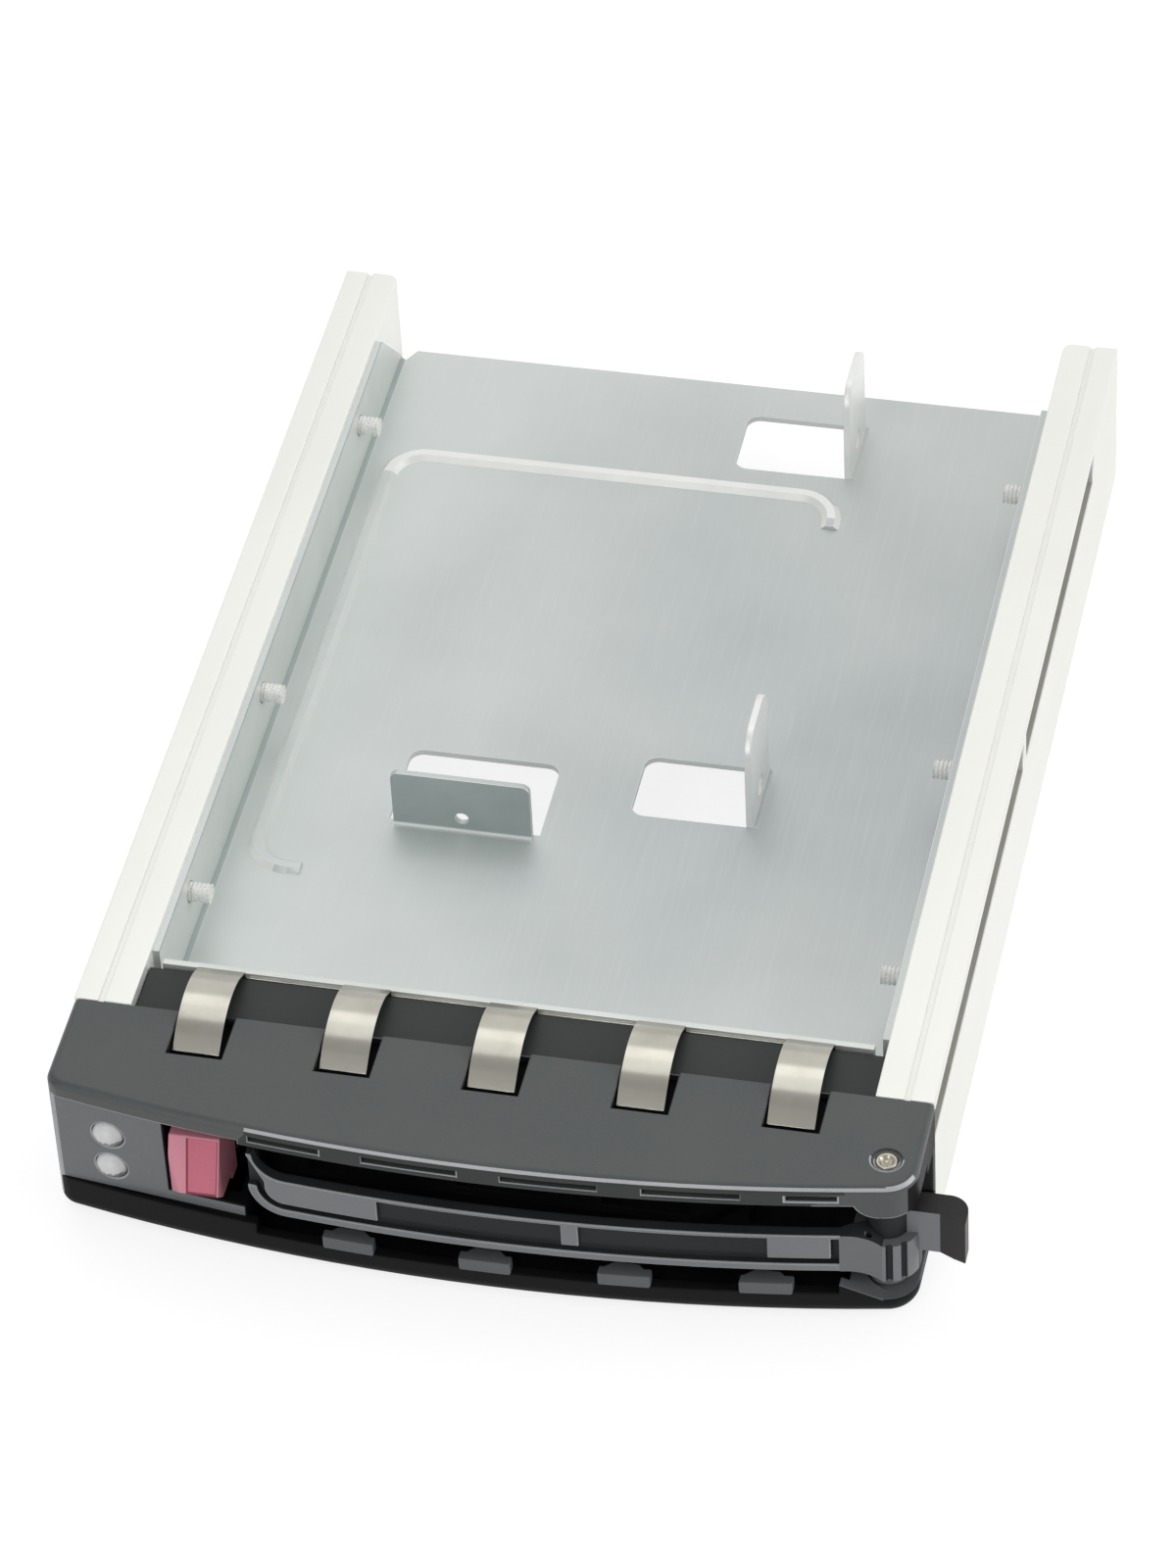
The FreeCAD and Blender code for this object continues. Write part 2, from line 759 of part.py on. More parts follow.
def cut_cavity(body):
    """Open the front for the lever, hollow the space behind the lips, and slot and tooth the lips."""
    rear = -size("cavity_rear")
    right = cavity_right
    base = size("base_gauge")
    lower_lip = size("lower_lip")
    beyond = half_width + FAR
    sweep_run = size("boss_sweep")
    drop = size("boss_drop")
    boss_round = (sweep_run * sweep_run + drop * drop) / (drop * 2)
    mouth = [
        (cavity_left, lower_lip), (pivot_x - size("lip_ramp"), lower_lip), (pivot_x, size("corner_floor")),
        (beyond, size("corner_floor")), (beyond, boss_low), (pivot_x, boss_low), Arc(boss_round, -1),
        (pivot_x - sweep_run, lip_low), (cavity_left, lip_low),
    ]
    cut(body, "lever_mouth", "XZ", [mouth], far_front, rear)
    lip = size("lip_gauge")
    hollow = [
        (cavity_left, bow(cavity_left, lip)), Arc(bow_radius - lip, 1), (right, bow(right, lip)),
        (right, rear), (cavity_left, rear),
    ]
    cut(body, "lip_hollow", "XY", [hollow], base, tray_top - size("plate_gauge"))
    sleeve_room = Circle(pivot_x, pivot_y, size("sleeve_radius") + size("lever_clearance"))
    cut(body, "sleeve_room", "XY", [sleeve_room], size("corner_floor"), lip_low)
    claw_room = rectangle(pivot_x - size("claw_room_left"), rear - FAR, beyond, -size("claw_room_rear"))
    claw_low = size("claw_low") - size("lever_clearance")
    claw_high = size("claw_low") + size("claw_height") + size("lever_clearance")
    cut(body, "claw_room", "XY", [claw_room], claw_low, claw_high)
    slot_high = tray_top - size("plate_gauge")
    slots = [
        rectangle(low, slot_high - size("lip_slot_height"), high, slot_high)
        for low, high in lip_gaps(size("tooth_width"))
    ]
    cut(body, "upper_lip_slots", "XZ", slots, far_front, -size("pivot_depth"))
    notch_low = lower_lip - size("lip_notch_depth")
    notches = [
        rectangle(low, notch_low, high, lower_lip + FAR)
        for low, high in lip_gaps(size("tooth_front_width"))
    ]
    cut(body, "lower_lip_notches", "XZ", notches, far_front, -size("pivot_depth"))
    front_half = size("tooth_front_width") / 2
    rear_half = size("tooth_rear_width") / 2
    teeth = [
        [
            (place - front_half, bow(place, lip / 2)), (place + front_half, bow(place, lip / 2)),
            (place + rear_half, bow(place, size("tooth_depth"))),
            (place - rear_half, bow(place, size("tooth_depth"))),
        ]
        for place in tooth_places()
    ]
    add(body, "lower_lip_teeth", "XY", teeth, base - FAR / 2, lower_lip)
    reach = size("vent_width") / 2
    vent_top = size("vent_low") + size("vent_height")
    vents = [
        rectangle(place - reach, size("vent_low"), place + reach, vent_top)
        for place in finger_places()
        if place.number - reach.number > cavity_left.number and place.number + reach.number < right.number
    ]
    cut(body, "rear_vents", "XZ", vents, rear - FAR, FAR)


def cut_button_block(body):
    """Set the block's face back, hollow it for the button and the light pipes, and bore the lens holes."""
    face_left = -size("face_left_depth")
    face_right = -size("face_right_depth")
    wall = size("face_wall")
    gap = size("button_gap")
    face = [
        (-half_width - FAR, far_front), (cavity_left, far_front), (cavity_left, face_right),
        (-half_width - FAR, face_left),
    ]
    cut(body, "face_recess", "XY", [face], size("face_low"), tray_top - size("face_drop"))
    slope = (face_right - face_left) / (cavity_left + half_width)

    def inside_face(x):
        return face_left + slope * (x + half_width) + wall

    high = tray_top - size("hollow_drop")
    pipe_left = -half_width + size("block_wall")
    well_left = button_left - gap
    pipe_right = well_left - size("block_wall")
    pipes = [
        (pipe_left, inside_face(pipe_left)), (pipe_right, inside_face(pipe_right)), (pipe_right, FAR),
        (pipe_left, FAR),
    ]
    cut(body, "light_pipe_room", "XY", [pipes], size("hollow_low"), high)
    well_right = cavity_left - size("block_wall")
    stop = -size("button_stop_depth")
    well = [
        (well_left, inside_face(well_left)), (well_right, inside_face(well_right)), (well_right, stop),
        (well_left, stop),
    ]
    cut(body, "button_well", "XY", [well], size("hollow_low"), high)
    button_top = size("button_low") + size("button_height")
    mouth = rectangle(well_left, size("button_low") - gap, cavity_left + FAR, button_top + gap)
    cut(body, "button_mouth", "XZ", [mouth], far_front, -size("button_back_depth"))
    bores = [
        Circle(lens_x, size(level), size("lens_radius") + size("lens_fit"))
        for level in ("lens_upper", "lens_lower")
    ]
    cut(body, "lens_holes", "XZ", bores, far_front, -size("light_pipe_bend_front"))


def make_lever():
    """Bowed pull lever: flanged plate, horn at its free end, fluted knuckle on the pin, claw outside."""
    body = new_body("lever")
    low = size("lever_low")
    left = cavity_left + size("lever_clearance") * 2
    front = size("lever_setback")
    rear = front + size("lever_gauge")
    shoulder_left = pivot_x - size("lever_shoulder")
    plate = bow_band(left, shoulder_left, front, rear)
    add(body, "lever_plate", "XY", [plate], low, low + size("lever_height"))
    flange = bow_band(left, shoulder_left, front, front + size("lever_flange_depth"))
    add(body, "lever_flange", "XY", [flange], low, low + size("lever_flange"))
    add_knuckle(body, shoulder_left, front, rear)
    add_horn(body, left, front, rear)
    add_claw(body)
    cut_channel(body, left, front)
    bore = Circle(pivot_x, pivot_y, size("pin_radius") + size("pivot_clearance"))
    cut(body, "lever_bore", "XY", [bore], -FAR, tray_top + FAR)
    return body


def add_knuckle(body, shoulder_left, front, rear):
    """Fluted knuckle on the pin, lower than the bar, with a shoulder that bends down to it and a sleeve."""
    low = size("lever_low")
    high = low + size("lever_height")
    drop = size("lever_drop")
    radius = size("hub_radius")
    shoulder = [
        (shoulder_left, bow(shoulder_left, front)), (pivot_x, pivot_y - radius), (pivot_x, pivot_y),
        (shoulder_left, bow(shoulder_left, rear)),
    ]
    add(body, "lever_shoulder", "XY", [shoulder], low - drop, high)
    add(body, "lever_knuckle", "XY", [Circle(pivot_x, pivot_y, radius)], low - drop, high - drop)
    run = size("lever_shoulder")
    bend = (run * run + drop * drop) / (drop * 2)
    above = [
        (shoulder_left, high), Arc(bend, -1), (pivot_x, high - drop), (pivot_x, high + FAR),
        (shoulder_left, high + FAR),
    ]
    below = [
        (shoulder_left, low), Arc(bend, -1), (pivot_x, low - drop), (pivot_x, low - drop - FAR),
        (shoulder_left - run, low - drop - FAR), (shoulder_left - run, low),
    ]
    behind = -size("cavity_rear")
    cut(body, "shoulder_top", "XZ", [above], far_front, behind)
    cut(body, "shoulder_underside", "XZ", [below], far_front, behind)
    flutes = [
        Circle(pivot_x + across, pivot_y - root(radius * radius - across * across), size("flute_radius"))
        for across in (-size("flute_step"), size("flute_step") / 2, size("flute_step") * 1.5)
    ]
    cut(body, "knuckle_flutes", "XY", flutes, low - drop - FAR, high)
    sleeve = Circle(pivot_x, pivot_y, size("sleeve_radius"))
    clearance = size("lever_clearance")
    add(body, "lever_sleeve", "XY", [sleeve], size("corner_floor") + clearance, boss_low - clearance)


def add_horn(body, left, front, rear):
    """Horn that rises from the bar's free end in a hollow sweep, over a rounded lower corner."""
    low = size("lever_low")
    high = low + size("lever_height")
    rise = size("lever_horn_height")
    run = size("lever_horn_sweep")
    horn_right = left + size("lever_horn_width")
    add(body, "lever_horn", "XY", [bow_band(left, horn_right + run, front, rear)], high - FAR, high + rise)
    hollow_round = (run * run + rise * rise) / (rise * 2)
    hollow = [
        (horn_right + run + FAR, high), (horn_right + run + FAR, high + rise + FAR),
        (horn_right, high + rise + FAR), (horn_right, high + rise), Arc(hollow_round, 1),
        (horn_right + run, high),
    ]
    behind = -size("cavity_rear")
    cut(body, "horn_hollow", "XZ", [hollow], far_front, behind)
    corner = size("lever_end_round")
    outside = [
        (left - FAR, low - FAR), (left + corner, low - FAR), (left + corner, low), Arc(corner, -1),
        (left, low + corner), (left - FAR, low + corner),
    ]
    cut(body, "lever_end_corner", "XZ", [outside], far_front, behind)


def add_claw(body):
    """Hooked claw that reaches out past the tray's side."""
    low = size("claw_low")
    tip = pivot_x + size("claw_reach")
    gauge = size("claw_gauge")
    front = pivot_y - size("claw_drop")
    claw = [
        (pivot_x, pivot_y + gauge * 0.9), (tip - gauge, pivot_y + gauge * 0.9), Arc(gauge, -1),
        (tip, pivot_y), (tip, front), (tip - gauge * 0.6, front + gauge * 0.2),
        (tip - gauge * 1.3, pivot_y - gauge * 0.4), (pivot_x, pivot_y - gauge * 0.4),
    ]
    add(body, "lever_claw", "XY", [claw], low, low + size("claw_height"))


def cut_channel(body, left, front):
    """Sink two windows in the plate, and a groove above the flange that turns up at both ends."""
    low = size("lever_low")
    high = low + size("lever_height")
    outer = front - FAR
    first = left + size("lever_window_place")
    second = first + size("lever_window_step")
    width = size("lever_window_width")
    windows = [
        bow_band(place, place + width, outer, front + size("lever_window_depth"))
        for place in (first, second)
    ]
    groove_low = low + size("lever_flange")
    border_low = high - size("lever_window_border")
    cut(body, "lever_windows", "XY", windows, groove_low, border_low)
    corner = size("lever_end_round")
    groove = size("lever_groove_height")
    deep = front + size("lever_groove_depth")
    groove_end = pivot_x - size("lever_shoulder")
    lower = bow_band(left + corner, groove_end, outer, deep)
    cut(body, "flange_groove", "XY", [lower], groove_low, groove_low + groove)
    upright = bow_band(groove_end - groove, groove_end, outer, deep)
    cut(body, "panel_end_groove", "XY", [upright], groove_low, border_low)
    outside = corner - size("lever_flange")
    inside = outside - groove
    turn = low + corner
    horn_top = high + size("lever_horn_height")
    setback = [
        (left + corner, groove_low), Arc(outside, -1), (left + size("lever_flange"), turn),
        (left - FAR, turn), (left - FAR, horn_top), (left, horn_top),
        (left + corner - inside, turn + groove), (left + corner - inside, turn), Arc(inside, 1),
        (left + corner, groove_low + groove),
    ]
    cut(body, "panel_left_setback", "XZ", [setback], far_front, bow(left, deep))


def make_pin():
    """Plain pivot pin pressed into the bezel."""
    body = new_body("pivot_pin")
    add(body, "pin_shank", "XY", [Circle(pivot_x, pivot_y, size("pin_radius"))], 0.0,
        tray_top - size("pin_recess_depth") / 2)
    return body


def make_button():
    """Release button: wedge face with bevelled sides, and a foot that keeps it in its well."""
    body = new_body("release_button")
    low = size("button_low")
    high = low + size("button_height")
    back = -size("button_back_depth")
    chin = -size("button_chin_depth")
    left = button_left
    right = left + size("button_width")
    wedge = [
        (back, low), (chin + size("button_chin_cut"), low), (chin, low + size("button_chin_height")),
        (-size("button_top_depth"), high), (back, high),
    ]
    add(body, "button_wedge", "YZ", [wedge], left, right)
    facet = size("button_facet")
    bevels = [
        [(left - FAR, chin - FAR), (left + facet + FAR, chin - FAR), (left - FAR, chin + facet + FAR)],
        [(right + FAR, chin - FAR), (right + FAR, chin + facet + FAR), (right - facet - FAR, chin - FAR)],
    ]
    cut(body, "button_bevels", "XY", bevels, low - FAR, high + FAR)
    foot = rectangle(back - size("button_foot_depth"), low - size("button_foot_drop"), back, low + FAR)
    add(body, "button_foot", "YZ", [foot], left, right)
    return body


def make_button_spring():
    """Serpentine strip spring between the button's back and the well's rear wall."""
    body = new_body("button_spring")
    middle = button_left + size("button_width") / 2
    reach = size("button_spring_width") / 2
    rear = -size("button_stop_depth") - size("spring_gauge") / 2
    front = -size("button_back_depth") + size("spring_gauge") / 2
    step = (rear - front) / 3
    turn = step / 2
    bulge_left = middle - reach - turn
    bulge_right = middle + reach + turn
    route = [
        (middle - reach, rear), (middle + reach, rear), Arc(turn, -1), (bulge_right, rear - turn),
        Arc(turn, -1), (middle + reach, rear - step), (middle - reach, rear - step), Arc(turn, 1),
        (bulge_left, rear - step - turn), Arc(turn, 1), (middle - reach, rear - step * 2),
        (middle + reach, rear - step * 2), Arc(turn, -1), (bulge_right, rear - step * 2 - turn),
        Arc(turn, -1), (middle + reach, front), (middle - reach, front),
    ]
    path = draw(body, "button_spring_route", "XY", [route], size("spring_level"), closed=False)
    thick = size("spring_gauge") / 2
    tall = size("spring_height") / 2
    level = size("spring_level")
    strip = rectangle(rear - thick, level - tall, rear + thick, level + tall)
    section = draw(body, "button_spring_strip", "YZ", [strip], middle - reach)
    sweep(body, "button_spring_sweep", section, path)
    return body


def make_lever_spring():
    """Leaf spring on the cavity's rear wall that pushes the released lever out."""
    body = new_body("lever_spring")
    thick = size("spring_gauge")
    wall = -size("cavity_rear")
    start = cavity_right - size("lever_spring_inset")
    heel = start - size("lever_spring_foot")
    tip = heel - size("lever_spring_run")
    reach = bow(tip, size("lever_setback") + size("lever_gauge")) + size("spring_gap")
    low = size("spring_level") - size("spring_height") / 2
    leaf = [
        (start, wall), (heel, wall), (tip, reach + thick), (tip - thick * 4, reach + thick * 4),
        (tip - thick * 5, reach + thick * 3), (tip, reach), (heel, wall - thick), (start, wall - thick),
    ]
    add(body, "lever_spring_leaf", "XY", [leaf], low, low + size("spring_height"))
    return body


def make_light_pipe(label, level):
    """Clear light pipe: round lens in the bezel and a square bar down the left rail's chamber."""
    body = new_body(label)
    lens = lens_x
    run = size("light_pipe_inset") - half_width
    reach = size("light_pipe_width") / 2
    bend_front = -size("light_pipe_bend_front")
    bend_rear = -size("light_pipe_bend_rear")
    lens_front = -size("lens_front_depth")
    lens_back = lens_front + size("lens_length")
    end = size("rail_length") - size("light_pipe_end_gap")
    lens_disc = Circle(lens, level, size("lens_radius"))
    add(body, label + "_lens", "XZ", [lens_disc], lens_front, lens_back)
    bevel_edges(body, label + "_crown", size("lens_bevel"), lambda edge: at_level(edge, "Y", lens_front))
    bar = [
        (lens - reach, lens_back - FAR), (lens + reach, lens_back - FAR), (lens + reach, bend_front),
        (run + reach, bend_rear), (run + reach, end), (run - reach, end), (run - reach, bend_rear),
        (lens - reach, bend_front),
    ]
    bar_level = level - size("light_pipe_drop")
    add(body, label + "_bar", "XY", [bar], bar_level - reach, bar_level + reach)
    return body


def make_finger_strip():
    """Stamped shielding strip held between ledge and pan, with arched fingers over the ledge."""
    body = new_body("shield_strip")
    gauge = size("finger_gauge")
    rear = size("ledge_depth") + gauge
    middle = size("ledge_depth") + gauge / 2
    half = size("finger_width") / 2
    span = size("finger_pitch") * ((FINGER_COUNT - 1) / 2) + half
    low = size("finger_strip_low")
    strip = rectangle(-span, size("ledge_depth"), span, rear)
    add(body, "strip_bar", "XY", [strip], low, ledge_top)
    bend = size("finger_bend")
    bend_low = ledge_top + size("finger_rise") - bend
    bend_end = (middle - bend + bend * math.sin(RISE_ANGLE), bend_low + bend * math.cos(RISE_ANGLE))
    ramp = size("finger_ramp")
    ramp_end = (bend_end[0] - ramp * math.cos(RISE_ANGLE), bend_end[1] + ramp * math.sin(RISE_ANGLE))
    arch = size("finger_arch")
    arch_end = (
        ramp_end[0] - arch * (math.sin(RISE_ANGLE) + math.sin(FALL_ANGLE)),
        ramp_end[1] - arch * (math.cos(RISE_ANGLE) - math.cos(FALL_ANGLE)),
    )
    tail = size("finger_tail")
    tail_end = (arch_end[0] - tail * math.cos(FALL_ANGLE), arch_end[1] - tail * math.sin(FALL_ANGLE))
    root_level = ledge_top - FAR
    route = [
        (middle, root_level), (middle, bend_low), Arc(bend, 1), bend_end, ramp_end, Arc(arch, 1), arch_end,
        tail_end,
    ]
    first = finger_places()[0]
    path = draw(body, "finger_route", "YZ", [route], first, closed=False)
    blank = rectangle(first - half, size("ledge_depth"), first + half, rear)
    section = draw(body, "finger_blank", "XY", [blank], root_level)
    finger = sweep(body, "finger", section, path)
    pattern = body.newObject("PartDesign::LinearPattern", "finger_row")
    pattern.Originals = [finger]
    across = next(item for item in body.Origin.OriginFeatures if item.Role == "X_Axis")
    pattern.Direction = (across, [""])
    bind(pattern, "Length", size("finger_pitch") * (FINGER_COUNT - 1))
    pattern.Occurrences = FINGER_COUNT
    body.Tip = pattern
    doc.recompute()
    return body


def cylinder_across(name, start, place, level, radius, length):
    """Cylinder along +X from a start."""
    cylinder = doc.addObject("Part::Cylinder", name)
    bind(cylinder, "Radius", radius)
    bind(cylinder, "Height", length)
    cylinder.Placement.Rotation = FreeCAD.Rotation(FreeCAD.Vector(0, 1, 0), 90)
    bind(cylinder, "Placement.Base.x", start)
    bind(cylinder, "Placement.Base.y", place)
    bind(cylinder, "Placement.Base.z", level)
    return cylinder


def make_screws(label, side, places, tip):
    """Group of screws whose heads sit in a rail's slot, with their tips at a place across."""
    screws = []
    for index, place in enumerate(places):
        head_end = (web_face + size("screw_head_height")) * side
        head_low, _ = sorted((web_face * side, head_end), key=lambda end: end.number)
        shank_low, _ = sorted((web_face * side, tip * side), key=lambda end: end.number)
        name = f"{label}_{index}"
        head = cylinder_across(f"{name}_head", head_low, place, screw_level, size("screw_head_radius"),
                               size("screw_head_height"))
        shank = cylinder_across(f"{name}_shank", shank_low, place, screw_level, size("screw_radius"),
                                web_face - tip)
        screw = doc.addObject("Part::Fuse", name)
        screw.Base = head
        screw.Tool = shank
        screws.append(screw)
    group = doc.addObject("Part::Compound", label)
    group.Label = label
    group.Links = screws
    doc.recompute()
    return group


pan_screw_tip = flange_inner - size("screw_reach")
bezel_screw_tip = rail_inner - size("bezel_screw_reach")
nodes = [
    make_bezel(),
    make_lever(),
    make_pin(),
    make_lever_spring(),
    make_button(),
    make_button_spring(),
    make_light_pipe("light_pipe_upper", size("lens_upper")),
    make_light_pipe("light_pipe_lower", size("lens_lower")),
    make_finger_strip(),
    make_pan(),
]
for side, name in ((LEFT, "left"), (RIGHT, "right")):
    nodes.append(make_rail(f"{name}_rail", side))
    nodes.append(make_screws(f"{name}_pan_screws", side, screw_places, pan_screw_tip))
    nodes.append(make_screws(f"{name}_bezel_screw", side, [size("bezel_screw_place")], bezel_screw_tip))

doc.recompute()
for item in doc.Objects:
    if "Invalid" in item.State or "Error" in item.State:
        raise RuntimeError(f"{item.Label} failed: {item.State}")
for node in nodes:
    if node.Shape.isNull() or not node.Shape.isValid():
        raise RuntimeError(f"{node.Label} has no valid shape")

os.makedirs("parts", exist_ok=True)
for node in nodes:
    node.Shape.exportStep(f"parts/{node.Label}.step")
    print(node.Label, len(node.Shape.Solids), round(node.Shape.Volume, 1))
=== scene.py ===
"""Looks of a hot-swap drive tray: its broken edges, its finishes, its screws and the studio around it."""

import json
import logging
import math
from collections.abc import Callable
from dataclasses import dataclass
from enum import Enum
from functools import cache
from typing import Protocol

import bmesh
import bpy
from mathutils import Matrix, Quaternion, Vector

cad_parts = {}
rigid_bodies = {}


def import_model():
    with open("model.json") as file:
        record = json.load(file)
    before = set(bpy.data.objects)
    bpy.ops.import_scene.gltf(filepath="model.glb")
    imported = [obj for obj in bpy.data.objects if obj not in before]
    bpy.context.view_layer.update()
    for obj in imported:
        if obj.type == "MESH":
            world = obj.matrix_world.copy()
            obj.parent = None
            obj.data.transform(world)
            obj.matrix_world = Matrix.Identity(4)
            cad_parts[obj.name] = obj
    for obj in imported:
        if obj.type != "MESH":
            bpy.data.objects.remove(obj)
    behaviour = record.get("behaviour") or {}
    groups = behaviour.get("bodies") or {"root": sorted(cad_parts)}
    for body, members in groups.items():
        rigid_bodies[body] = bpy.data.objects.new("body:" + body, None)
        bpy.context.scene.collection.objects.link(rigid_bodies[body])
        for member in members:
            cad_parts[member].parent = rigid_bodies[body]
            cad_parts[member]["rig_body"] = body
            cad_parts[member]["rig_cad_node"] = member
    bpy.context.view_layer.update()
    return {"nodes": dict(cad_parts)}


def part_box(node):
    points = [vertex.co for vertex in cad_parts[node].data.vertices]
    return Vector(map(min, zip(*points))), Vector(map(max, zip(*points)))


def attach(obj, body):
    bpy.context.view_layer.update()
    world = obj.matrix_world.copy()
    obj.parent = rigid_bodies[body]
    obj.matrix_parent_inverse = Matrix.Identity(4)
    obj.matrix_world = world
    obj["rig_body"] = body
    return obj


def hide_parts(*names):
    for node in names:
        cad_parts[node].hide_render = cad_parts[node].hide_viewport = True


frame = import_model()
MM = 0.001
LOG = logging.getLogger("drive_tray")

# Millimetres within which a copied solid's points are joined, and degrees within which its faces are.
WELD = 0.002
FLAT = 0.6
# Slot of the finish that broken edges get, which paints a highlight on the bezel, lever, pan and rails.
RIM_SLOT = 1
# Weight of large faces against small ones in the shading, where 50 is even.
FLAT_WEIGHT = 80
# Least share of a face's normal along the axis that it faces, for loose and for strict tests.
FACING = 0.9
SQUARE = 0.99
# Radius of the bezel's bowed front and how far it stands out at the middle, in millimetres.
BOW_RADIUS = 305.5
BOW_FRONT = 21.65
# Places of the screws along the rails in millimetres.
PAN_SCREWS = (27.0, 68.6, 128.6)
BEZEL_SCREW = (4.6,)

Pair = tuple[float, float]
Triple = tuple[float, float, float]
Colour = Triple
FaceTest = Callable[[Vector, Vector], bool]
PointTest = Callable[[Vector], bool]
Socket = bpy.types.NodeSocket
Piece = bpy.types.Object


class Part(Protocol):
    """Anything that makes one piece of the tray."""

    def build(self) -> Piece:
        """Make the piece."""


class Body(Enum):
    """Rigid bodies that pieces ride on."""

    TRAY = "tray"
    LEVER = "lever"
    BUTTON = "button"


class Side(Enum):
    """Sides of the tray, as the sign of their place across."""

    LEFT = -1
    RIGHT = 1


class Grain(Enum):
    """Direction in which a metal's rolling or brushing lines run."""

    ALONG = (1.0, 0.03, 1.0)
    ACROSS = (0.03, 1.0, 1.0)


class Graph:
    """Node tree of one material, with short calls for the nodes that the finishes share."""

    def __init__(self, name: str) -> None:
        """Start a material that holds only a principled shader.

        Args:
            name: Name of the material.
        """
        self.material = bpy.data.materials.new(name)
        self.material.use_nodes = True
        self.tree = self.material.node_tree
        self.tree.nodes.clear()
        output = self.tree.nodes.new("ShaderNodeOutputMaterial")
        self.shader = self.tree.nodes.new("ShaderNodeBsdfPrincipled")
        self.tree.links.new(self.shader.outputs["BSDF"], output.inputs["Surface"])
        self.place = self.tree.nodes.new("ShaderNodeTexCoord").outputs["Object"]

    def constant(self, socket: str, value: float | Colour) -> None:
        """Set a shader input that is the same all over."""
        self.shader.inputs[socket].default_value = (*value, 1.0) if isinstance(value, tuple) else value

    def link(self, start: Socket, end: Socket) -> None:
        """Join two sockets."""
        self.tree.links.new(start, end)

    def drive(self, socket: str, value: Socket) -> None:
        """Let a pattern drive a shader input."""
        self.link(value, self.shader.inputs[socket])

    def stretched(self, scale: Triple) -> Socket:
        """Object coordinates stretched by axis.

        Args:
            scale: Factor along each axis.

        Returns:
            The socket that holds the new coordinates.
        """
        mapping = self.tree.nodes.new("ShaderNodeMapping")
        mapping.inputs["Scale"].default_value = scale
        self.link(self.place, mapping.inputs["Vector"])
        return mapping.outputs["Vector"]

    def noise(self, size: float, detail: float = 3.0, where: Socket | None = None) -> Socket:
        """Cloudy pattern.

        Args:
            size: Rough size of a patch in metres.
            detail: Number of finer layers.
            where: Coordinates, or None for the plain object ones.

        Returns:
            The pattern's value socket.
        """
        node = self.tree.nodes.new("ShaderNodeTexNoise")
        node.inputs["Scale"].default_value = 1.0 / size
        node.inputs["Detail"].default_value = detail
        self.link(where or self.place, node.inputs["Vector"])
        return node.outputs["Fac"]

    def span(self, value: Socket, low: float, high: float, start: float = 0.3, end: float = 0.7) -> Socket:
        """Spread a pattern over a range of numbers.

        Args:
            value: Pattern socket.
            low: Number where the pattern has its start value.
            high: Number where the pattern has its end value.
            start: Pattern value that gives the low number.
            end: Pattern value that gives the high number.

        Returns:
            The socket with the spread numbers.
        """
        node = self.tree.nodes.new("ShaderNodeMapRange")
        node.inputs["From Min"].default_value = start
        node.inputs["From Max"].default_value = end
        node.inputs["To Min"].default_value = low
        node.inputs["To Max"].default_value = high
        self.link(value, node.inputs["Value"])
        return node.outputs["Result"]

    def tones(self, value: Socket, first: Colour, second: Colour,
              start: float = 0.3, end: float = 0.7) -> Socket:
        """Colour a pattern with two tones.

        Args:
            value: Pattern socket.
            first: Colour at the start value.
            second: Colour at the end value.
            start: Pattern value of the first colour.
            end: Pattern value of the second colour.

        Returns:
            The colour socket.
        """
        node = self.tree.nodes.new("ShaderNodeValToRGB")
        node.color_ramp.elements[0].position = start
        node.color_ramp.elements[0].color = (*first, 1.0)
        node.color_ramp.elements[1].position = end
        node.color_ramp.elements[1].color = (*second, 1.0)
        self.link(value, node.inputs["Fac"])
        return node.outputs["Color"]

    def blend(self, share: Socket, first: Socket, second: Socket) -> Socket:
        """Mix two colours by a pattern.

        Args:
            share: Share of the second colour.
            first: First colour socket.
            second: Second colour socket.

        Returns:
            The mixed colour socket.
        """
        node = self.tree.nodes.new("ShaderNodeMix")
        node.data_type = "RGBA"
        colours = [socket for socket in node.inputs if socket.type == "RGBA"]
        self.link(share, node.inputs["Factor"])
        self.link(first, colours[0])
        self.link(second, colours[1])
        return next(socket for socket in node.outputs if socket.type == "RGBA")

    def with_painted_sheen(self, value: Socket, reach: float, shift: float) -> Socket:
        """Shift a pattern more and more towards the left, which paints a sheen onto a colour.

        Args:
            value: Pattern socket.
            reach: Distance from the middle in metres where the shift is full.
            shift: Full shift of the pattern's value.

        Returns:
            The socket of the shifted pattern.
        """
        split = self.tree.nodes.new("ShaderNodeSeparateXYZ")
        total = self.tree.nodes.new("ShaderNodeMath")
        total.operation = "ADD"
        self.link(self.place, split.inputs["Vector"])
        self.link(value, total.inputs[0])
        self.link(self.span(split.outputs["X"], shift, 0.0, start=-reach, end=0.0), total.inputs[1])
        return total.outputs["Value"]

    def bump(self, height: Socket, depth: float, strength: float) -> None:
        """Raise the surface by a pattern.

        Args:
            height: Pattern socket.
            depth: Height of the relief in metres.
            strength: Share of the relief that shows.
        """
        node = self.tree.nodes.new("ShaderNodeBump")
        node.inputs["Strength"].default_value = strength
        node.inputs["Distance"].default_value = depth
        self.link(height, node.inputs["Height"])
        self.drive("Normal", node.outputs["Normal"])


